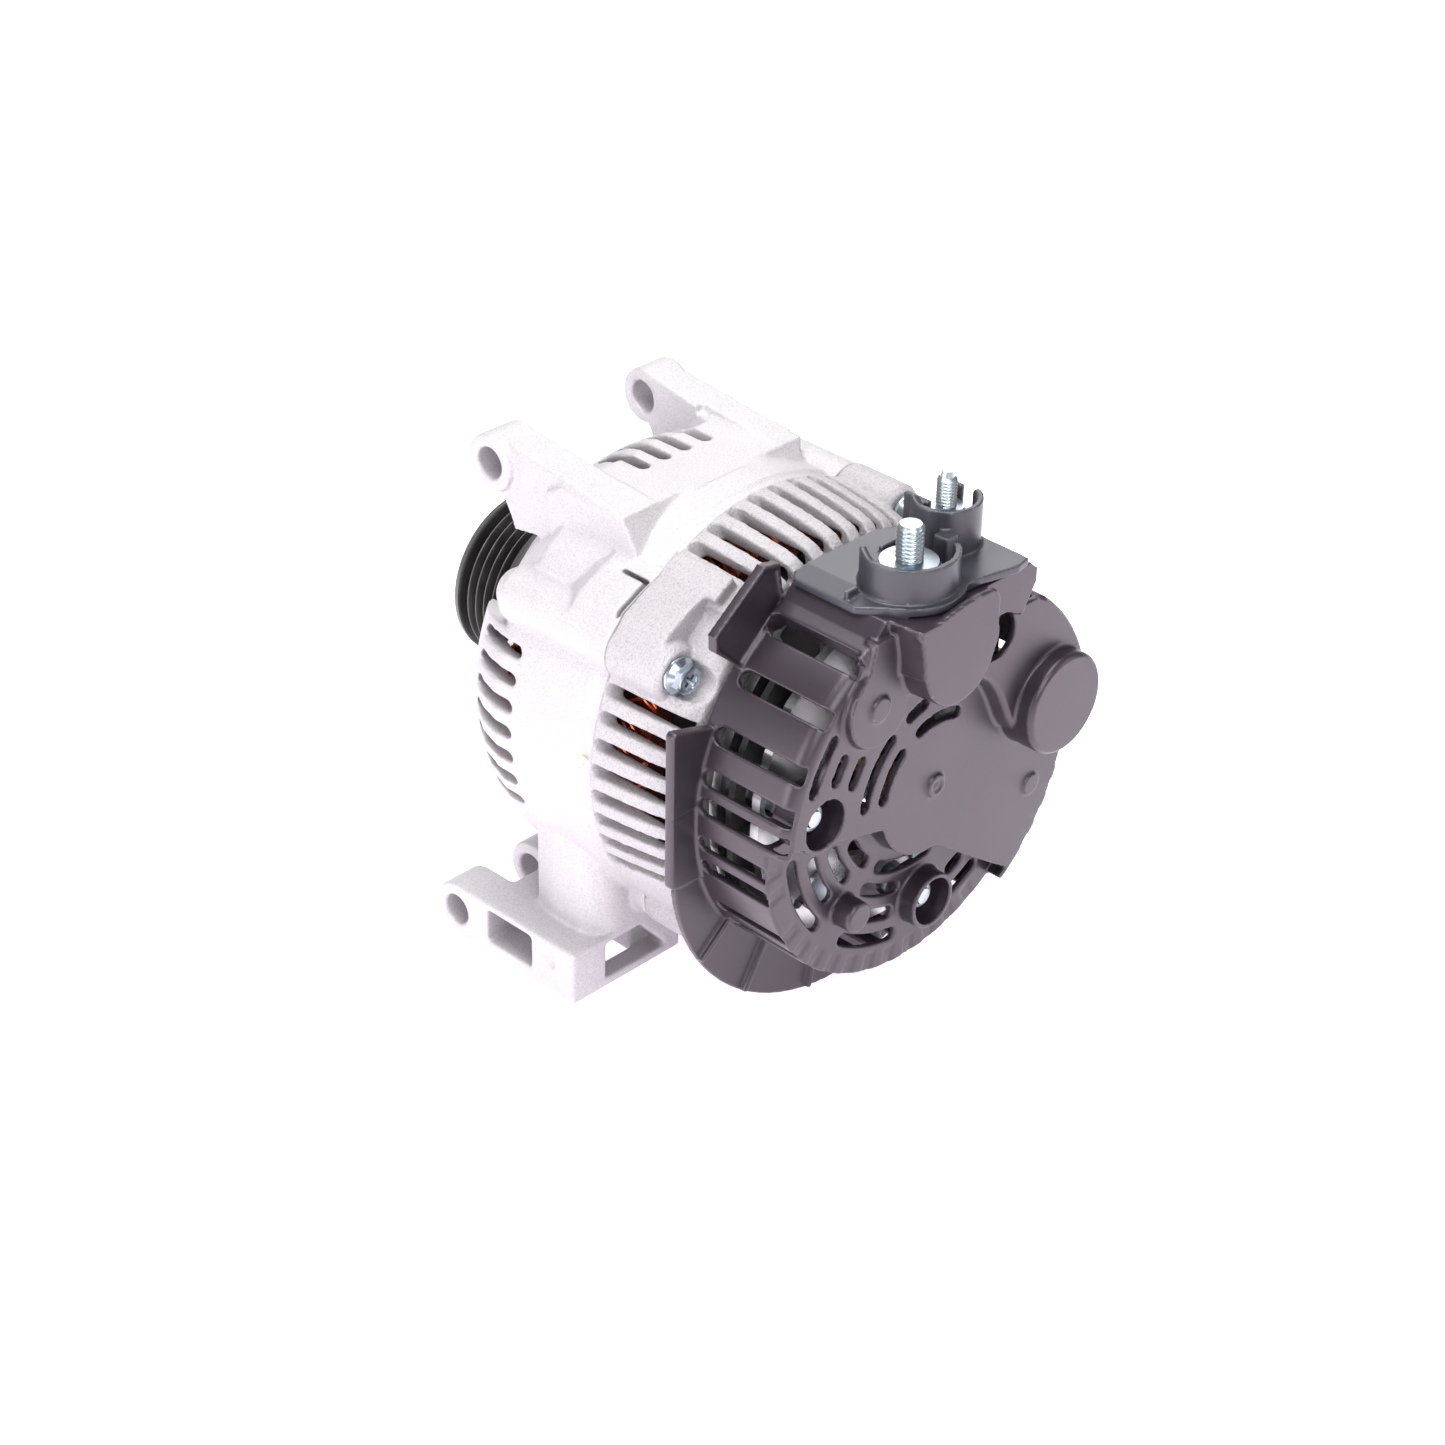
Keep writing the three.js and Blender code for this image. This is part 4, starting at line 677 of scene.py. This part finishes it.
def terminal_block():
    low, high = PLATE
    plan = [(-25.5, 33.2), (-28.2, 31), (-28.2, 8.5), (-23.5, 1.5), *arc(-8, 7, 16.2, 201, 308, 6), (8, -6.2),
            (20, -9), (25.5, -8), (26, 12), (18, 26), (11, 31), (7, 32.8)]
    body = prism(Z, plan, low - 0.8, high)
    # the left wing slopes down from a fold
    cut(body, prism(Y, [(-20.5, high), (-30, high - 1.5), (-30, high + 2), (-20.5, high + 2)], -20, 40))
    cut(body, block((-20, 30), (-20, 40), (low - 1, low)))
    for t in (B_PLUS, SIGNAL):
        join(body, rod(Z, t["x"], t["y"], t["r"] + 3.4, high - 1, high + t["seat"] - 2.2), guard(t))
        join(body, rod(Z, t["x"], t["y"], t["guard"] - 0.4, high - 1, high + 1.2))
    join(body, block((4, 9), (4, 9), (high - 0.5, high + 9)))
    # the two posts beside the small stud
    for across in ((8.2, 9.8), (22.2, 23.8)):
        join(body, block(across, (15, 24), (high - 0.5, high + 15)))
    # low ribs that stiffen the plate
    join(body, block((-27, -22.4), (12, 13.4), (high - 0.5, high + 1.4)))
    join(body, block((-2, 6), (22, 23.4), (high - 0.5, high + 2)))
    for t in (B_PLUS, SIGNAL):
        cut(body, rod(Z, t["x"], t["y"], t["r"] + 0.3, 40, 100))
    return moulded(body, 0.36, 4, 120000)


def thread(r, pitch, z0, z1, around=56, per_turn=8):
    """A threaded rod along Z about the origin."""
    depth = 0.55 * pitch
    rows = max(2, round((z1 - z0) / pitch * per_turn))
    points = [(0, 0, z0)]
    for i in range(rows + 1):
        z = z0 + (z1 - z0) * i / rows
        for k in range(around):
            phase = ((z - z0) / pitch - k / around) % 1
            dip = depth * (1 - abs(2 * phase - 1))
            end = 0.9 * max(0.0, 1 - (z1 - z) / (0.8 * pitch)) + 0.9 * max(0.0, 1 - (z - z0) / (0.8 * pitch))
            rr = r - max(dip, end)
            angle = 2 * math.pi * k / around
            points.append((rr * math.cos(angle), rr * math.sin(angle), z))
    points.append((0, 0, z1))
    faces = []
    for i in range(rows):
        for k in range(around):
            a, b = 1 + i * around + k, 1 + i * around + (k + 1) % around
            faces.append([a, b, b + around, a + around])
    top = len(points) - 1
    for k in range(around):
        faces.append([0, 1 + (k + 1) % around, 1 + k])
        a, b = 1 + rows * around + k, 1 + rows * around + (k + 1) % around
        faces.append([a, b, top])
    return make(points, faces)


def placed(solid, matrix):
    solid.data.transform(matrix)
    return solid


def stud(t, flange_r):
    seat = PLATE[1] + t["seat"]
    end = seat + t["length"]
    x, y, r = t["x"], t["y"], t["r"]
    body = placed(thread(r, t["pitch"], seat - 0.5, end - t["point"]), Matrix.Translation((x, y, 0)))
    if t["point"]:
        join(body, rod(Z, x, y, r - 0.9, end - t["point"] - 0.1, end, 32, r1=r - 1.4))
    flange = rod(Z, x, y, flange_r, seat - 1.7, seat - 0.3, 64, r1=flange_r - 0.5)
    return join(body, flange, rod(Z, x, y, flange_r - 0.5, seat - 0.32, seat), rod(Z, x, y, r, 55, seat))


# ------------------------------------------------------------------ screws and nuts
def hexagon(a, b, across, degrees=0):
    r = across / math.sqrt(3)
    return [(a + polar(r, degrees + 60 * i)[0], b + polar(r, degrees + 60 * i)[1]) for i in range(6)]


def hex_head(a, b, across, y0, y1, turn, flange_r=None):
    """A flanged hexagon along Y whose free end is at y0, its corners chamfered."""
    head = prism(Y, hexagon(a, b, across, turn), y0, y1)
    cone = prism(Y, circle(a, b, across * 0.47), y0 - 0.02, y0 + 6.5, circle(a, b, across * 0.47 + 8.5))
    boolean(head, cone, "INTERSECT")
    if flange_r:
        join(head, prism(Y, circle(a, b, across * 0.5), y1 - 1.6, y1, circle(a, b, flange_r)))
        join(head, rod(Y, a, b, flange_r, y1 - 0.02, y1 + 0.9))
    return head


def bar(a, b, reach, half, degrees):
    """A turned rectangle about (a, b)."""
    c, s = math.cos(math.radians(degrees)), math.sin(math.radians(degrees))
    corners = ((-reach, -half), (reach, -half), (reach, half), (-reach, half))
    return [(a + c * u - s * v, b + s * u + c * v) for u, v in corners]


def cross_recess(a, b, reach, y0, depth, turn):
    """Two tapering bars across each other, to cut a cross into a screw's head."""
    arms = []
    for k in range(2):
        top, low = bar(a, b, reach, 0.55, turn + 90 * k), bar(a, b, reach * 0.45, 0.3, turn + 90 * k)
        arms.append(prism(Y, top, y0 - 0.1, y0 + depth, low))
    return arms


def softened(solid, width=0.25, segments=2, angle=35):
    mod = solid.modifiers.new("bevel", "BEVEL")
    mod.width, mod.segments, mod.limit_method, mod.angle_limit = width, segments, "ANGLE", math.radians(angle)
    return settle(solid)


def through_bolt(angle):
    a, b = polar(BOLT_R, angle)
    head = hex_head(a, b, 8, 43.7, 47.6, 12, 5.6)
    cut(head, rod(Y, a, b, 2.9, 43, 44.1, r1=2.5), *cross_recess(a, b, 2.3, 44, 2.2, 38))
    return join(softened(head, 0.14), rod(Y, a, b, 2.5, 47.5, 104, 32))


def cover_nut(a, b):
    nut = hex_head(a, b, 8, 4.8, 8.3, 22, 5.4)
    return cut(softened(nut, 0.14), rod(Y, a, b, 2.75, 3, 12, 32))


def pulley():
    front, first_tip, pitch = 174.0, 170.1, 3.56
    outer = [(22, 151.5), (26.8, 151.5), (27.3, 151.9), (27.4, 152.6), (27.4, first_tip - 4 * pitch - 1.9)]
    for i in range(4, -1, -1):
        groove = first_tip - i * pitch
        outer += [(23.7, groove - 0.18), (23.7, groove + 0.18)]
        if i > 0:
            rib = groove + pitch / 2
            outer += [(26.5, rib - 0.25), (26.7, rib), (26.5, rib + 0.25)]
    outer += [(27.4, first_tip + 1.9), (27.4, front - 0.9), (27.2, front - 0.3), (26.6, front), (20, front)]
    inner = [(19, front - 0.8), (18.2, 166), (17.2, 164.9), (8.8, 164.5), (8.8, 151.5)]
    return turned(outer + inner, 200)


def pulley_nut():
    nut = hex_head(0, 0, 24, 0, 11, 0)
    placed(nut, Matrix.Translation((0, 178, 0)) @ Matrix.Rotation(math.pi, 4, "Z"))
    join(nut, rod(Y, 0, 0, 14.4, 164.9, 167.4, 96))
    return cut(softened(nut, 0.4), rod(Y, 0, 0, 8.1, 160, 182, 64))


def coil_spring(x, y, r, z0, z1, turns=6.5, wire=0.32):
    steps, sides = int(turns * 24), 8
    points, faces = [], []
    for i in range(steps + 1):
        t = i / steps
        angle = 2 * math.pi * turns * t
        flat = min(1.0, t / 0.12, (1 - t) / 0.12)
        z = z0 + wire + (z1 - z0 - 2 * wire) * t
        for k in range(sides):
            phi = 2 * math.pi * k / sides
            rr = r + wire * math.cos(phi)
            lift = wire * math.sin(phi) * flat ** 0.2
            points.append((x + rr * math.cos(angle), y + rr * math.sin(angle), z + lift))
    for i in range(steps):
        for k in range(sides):
            a, b = i * sides + k, i * sides + (k + 1) % sides
            faces.append([a, b, b + sides, a + sides])
    faces += [list(range(sides)), [steps * sides + k for k in range(sides)]]
    return make(points, faces)


def wire(path, radius, sides=6):
    """A round wire along a path of points."""
    points, faces = [], []
    for i, p in enumerate(path):
        along = (Vector(path[min(i + 1, len(path) - 1)]) - Vector(path[max(i - 1, 0)])).normalized()
        side = along.cross(Vector((0, 1, 0.01))).normalized()
        over = side.cross(along)
        for k in range(sides):
            phi = 2 * math.pi * k / sides
            points.append(Vector(p) + side * (radius * math.cos(phi)) + over * (radius * math.sin(phi)))
    for i in range(len(path) - 1):
        for k in range(sides):
            a, b = i * sides + k, i * sides + (k + 1) % sides
            faces.append([a, b, b + sides, a + sides])
    faces += [list(range(sides))[::-1], [(len(path) - 1) * sides + k for k in range(sides)]]
    return make(points, faces)


def winding_wires():
    """The wires on the outside of both winding heads, each crossing its head at a slant."""
    wires = []
    for y0, y1 in ((57.2, 71.0), (103.0, 115.6)):
        for i in range(150):
            start, lean = 2.4 * i + random.uniform(-0.8, 0.8), random.choice((-1, 1)) * random.uniform(5, 12)
            path = []
            for k in range(6):
                t = k / 5
                a, b = polar(59.3 + 1.7 * math.sin(math.pi * t) * random.uniform(0.75, 1.0), start + lean * t)
                path.append((a, y0 + (y1 - y0) * t, b))
            wires.append(wire(path, 0.42))
    return gathered(wires)


PAINT_DABS = ((162.5, 87, 2.2, 1.3), (171.5, 80, 1.6, 1.6), (175, 75, 2.6, 1.2), (165, 79, 1.2, 1.0))


def paint_marks():
    """Thin dabs of inspection paint on the band, each (angle, y, half length, half width)."""
    dabs = []
    for angle, y, long, wide in PAINT_DABS:
        outline = []
        for k in range(18):
            phi = 2 * math.pi * k / 18
            reach = 1 + 0.35 * math.sin(3 * phi + angle) + 0.2 * math.sin(5 * phi + y)
            outline.append((y + long * reach * math.cos(phi), wide * reach * math.sin(phi)))
        dabs.append(radial(outline, HOUSING_R - 0.3, HOUSING_R + 0.06, angle))
    return gathered(dabs)


# ------------------------------------------------------------------ the visible pieces
piece(front_housing(), "housing_front_cast", "housing", CAST, ["front_housing"], 50)
piece(rear_housing(), "housing_rear_cast", "housing", FIN_CAST_SHADED, ["rear_housing"], 50)
piece(rear_cover(), "cover_moulded", "housing", COVER, ["rear_cover"], 50)
piece(terminal_block(), "terminal_block_moulded", "housing", BLOCK, ["terminal_block"],
      50)
piece(stud(B_PLUS, 8.8), "output_stud_threaded", "housing", ZINC, ["b_plus_stud"])
piece(stud(SIGNAL, 5.6), "signal_stud_threaded", "housing", ZINC, ["signal_stud"])
for i, angle in enumerate(BOLT_ANGLES):
    piece(through_bolt(angle), f"flange_screw_{i + 1}", "housing", ZINC,
          [f"through_bolt_{i + 1}"])
for i, (a, b) in enumerate(NUTS):
    piece(cover_nut(a, b), f"flange_nut_{i + 1}", "housing", ZINC, [f"cover_nut_{i + 1}"])
piece(pulley(), "pulley_grooved", "rotor", BLACK, ["pulley"], 30)
piece(pulley_nut(), "pulley_nut_chamfered", "rotor", ZINC, ["pulley_nut"])
piece(winding_wires(), "stator_winding_wires", "housing", WIRE)
piece(paint_marks(), "inspection_paint_marks", "housing", PAINT)
for i, y in enumerate((13.0, 22.0)):
    spring = piece(coil_spring(0, y, 1.5, 21.3, 29.3), f"brush_spring_coil_{i + 1}", "housing",
                   STEEL, [f"brush_spring_{i + 1}"])
    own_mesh(spring)

# ------------------------------------------------------------------ the pieces that keep their shape
KEPT = {
    "stator_core": LAMINATED, "stator_winding": COPPER, "rotor_shaft": STEEL, "claw_pole_front": DARK_STEEL,
    "claw_pole_rear": DARK_STEEL, "field_coil": COPPER, "front_fan": DARK_STEEL, "rear_fan": DARK_STEEL,
    "slip_ring_sleeve": BOARD, "slip_ring_1": BARE_COPPER, "slip_ring_2": BARE_COPPER, "front_collar": STEEL,
    "front_bearing_outer_race": BALLS, "front_bearing_inner_race": BALLS, "front_bearing_balls": BALLS,
    "rear_bearing_outer_race": BALLS, "rear_bearing_inner_race": BALLS, "rear_bearing_balls": BALLS,
    "bearing_retainer": ZINC, "negative_heat_sink": SINK, "positive_heat_sink": SINK, "terminal_board": BOARD,
    "regulator": BOARD, "brush_holder": BOARD, "brush_1": CARBON, "brush_2": CARBON,
    "output_strap": BARE_COPPER, "cover_stud_1": ZINC, "cover_stud_2": ZINC,
    **{f"retainer_screw_{i}": ZINC for i in (1, 2, 3, 4)},
    **{f"{sign}_diode_{i}": ZINC for sign in ("negative", "positive") for i in (1, 2, 3)},
}
for name, surface in KEPT.items():
    node = NODES[name]
    node.data.materials.clear()
    node.data.materials.append(surface)
    bevel = node.modifiers.new("edges", "BEVEL")
    bevel.width, bevel.segments, bevel.limit_method = 0.00025, 2, "ANGLE"
    bevel.angle_limit = math.radians(30)

# ------------------------------------------------------------------ camera, floor and light
CAMERA_FROM_SHAFT = Vector((-603.3, -493.4, 505.0)) / 1000
AZIMUTH, ELEVATION, ROLL = math.radians(-46.27), math.radians(32.0), math.radians(1.1)
LENS, SENSOR = 81.26, 36
back = Vector((
    math.sin(AZIMUTH) * math.cos(ELEVATION), -math.cos(AZIMUTH) * math.cos(ELEVATION), math.sin(ELEVATION),
))
right = Vector((math.cos(AZIMUTH), math.sin(AZIMUTH), 0))
up = back.cross(right)
right, up = right * math.cos(ROLL) + up * math.sin(ROLL), up * math.cos(ROLL) - right * math.sin(ROLL)
camera = bpy.data.objects.new("camera", bpy.data.cameras.new("camera"))
bpy.context.scene.collection.objects.link(camera)
turn = Matrix((right, up, back)).transposed().to_4x4()
camera.matrix_world = Matrix.Translation(ORIGIN + CAMERA_FROM_SHAFT) @ turn
camera.data.sensor_width, camera.data.lens = SENSOR, LENS
camera.data.clip_start, camera.data.clip_end = 0.02, 20
bpy.context.scene.camera = camera

floor = make([(-1500, -1500, 0), (1500, -1500, 0), (1500, 1500, 0), (-1500, 1500, 0)], [[0, 1, 2, 3]])
floor.name = "floor"
floor.data.transform(Matrix.Scale(0.002, 4))
floor.data.transform(Matrix.Translation((0, 0, -0.0003)))
paper = bpy.data.materials.new("studio_paper")
paper.use_nodes = True
shader = paper.node_tree.nodes["Principled BSDF"]
shader.inputs["Base Color"].default_value = (0.93, 0.90, 0.93, 1)
shader.inputs["Roughness"].default_value = 0.9
shader.inputs["Emission Color"].default_value = (1.0, 0.90, 1.04, 1)
shader.inputs["Emission Strength"].default_value = 0.74
floor.data.materials.append(paper)

world = bpy.data.worlds.new("studio")
world.use_nodes = True
background = world.node_tree.nodes["Background"]
background.inputs["Color"].default_value = (1.0, 0.985, 1.0, 1)
# white where it is seen, soft where it lights the part
path = world.node_tree.nodes.new("ShaderNodeLightPath")
strength = world.node_tree.nodes.new("ShaderNodeMapRange")
strength.inputs["To Min"].default_value, strength.inputs["To Max"].default_value = 0.25, 1.05
world.node_tree.links.new(path.outputs["Is Camera Ray"], strength.inputs["Value"])
world.node_tree.links.new(strength.outputs["Result"], background.inputs["Strength"])
bpy.context.scene.world = world


def area_light(name, place, target, size, power):
    light = bpy.data.lights.new(name, "AREA")
    light.shape, light.size, light.energy = "DISK", size, power
    lamp = bpy.data.objects.new(name, light)
    lamp.location = place
    lamp.rotation_mode = "QUATERNION"
    lamp.rotation_quaternion = (Vector(place) - Vector(target)).to_track_quat("Z", "Y")
    bpy.context.scene.collection.objects.link(lamp)


CENTRE = (0, 0, 0.08)
area_light("top", (-0.1, 0.1, 1.3), CENTRE, 1.0, 20)
area_light("left", (-1.1, 0.15, 0.35), CENTRE, 0.8, 8)
area_light("fill", (-0.5, -1.0, 0.9), CENTRE, 1.0, 12)
area_light("right", (0.65, -0.85, 0.5), CENTRE, 0.6, 2)
area_light("behind", (0.8, 0.8, 0.75), CENTRE, 0.8, 5)
bpy.context.scene.view_settings.view_transform = "Standard"
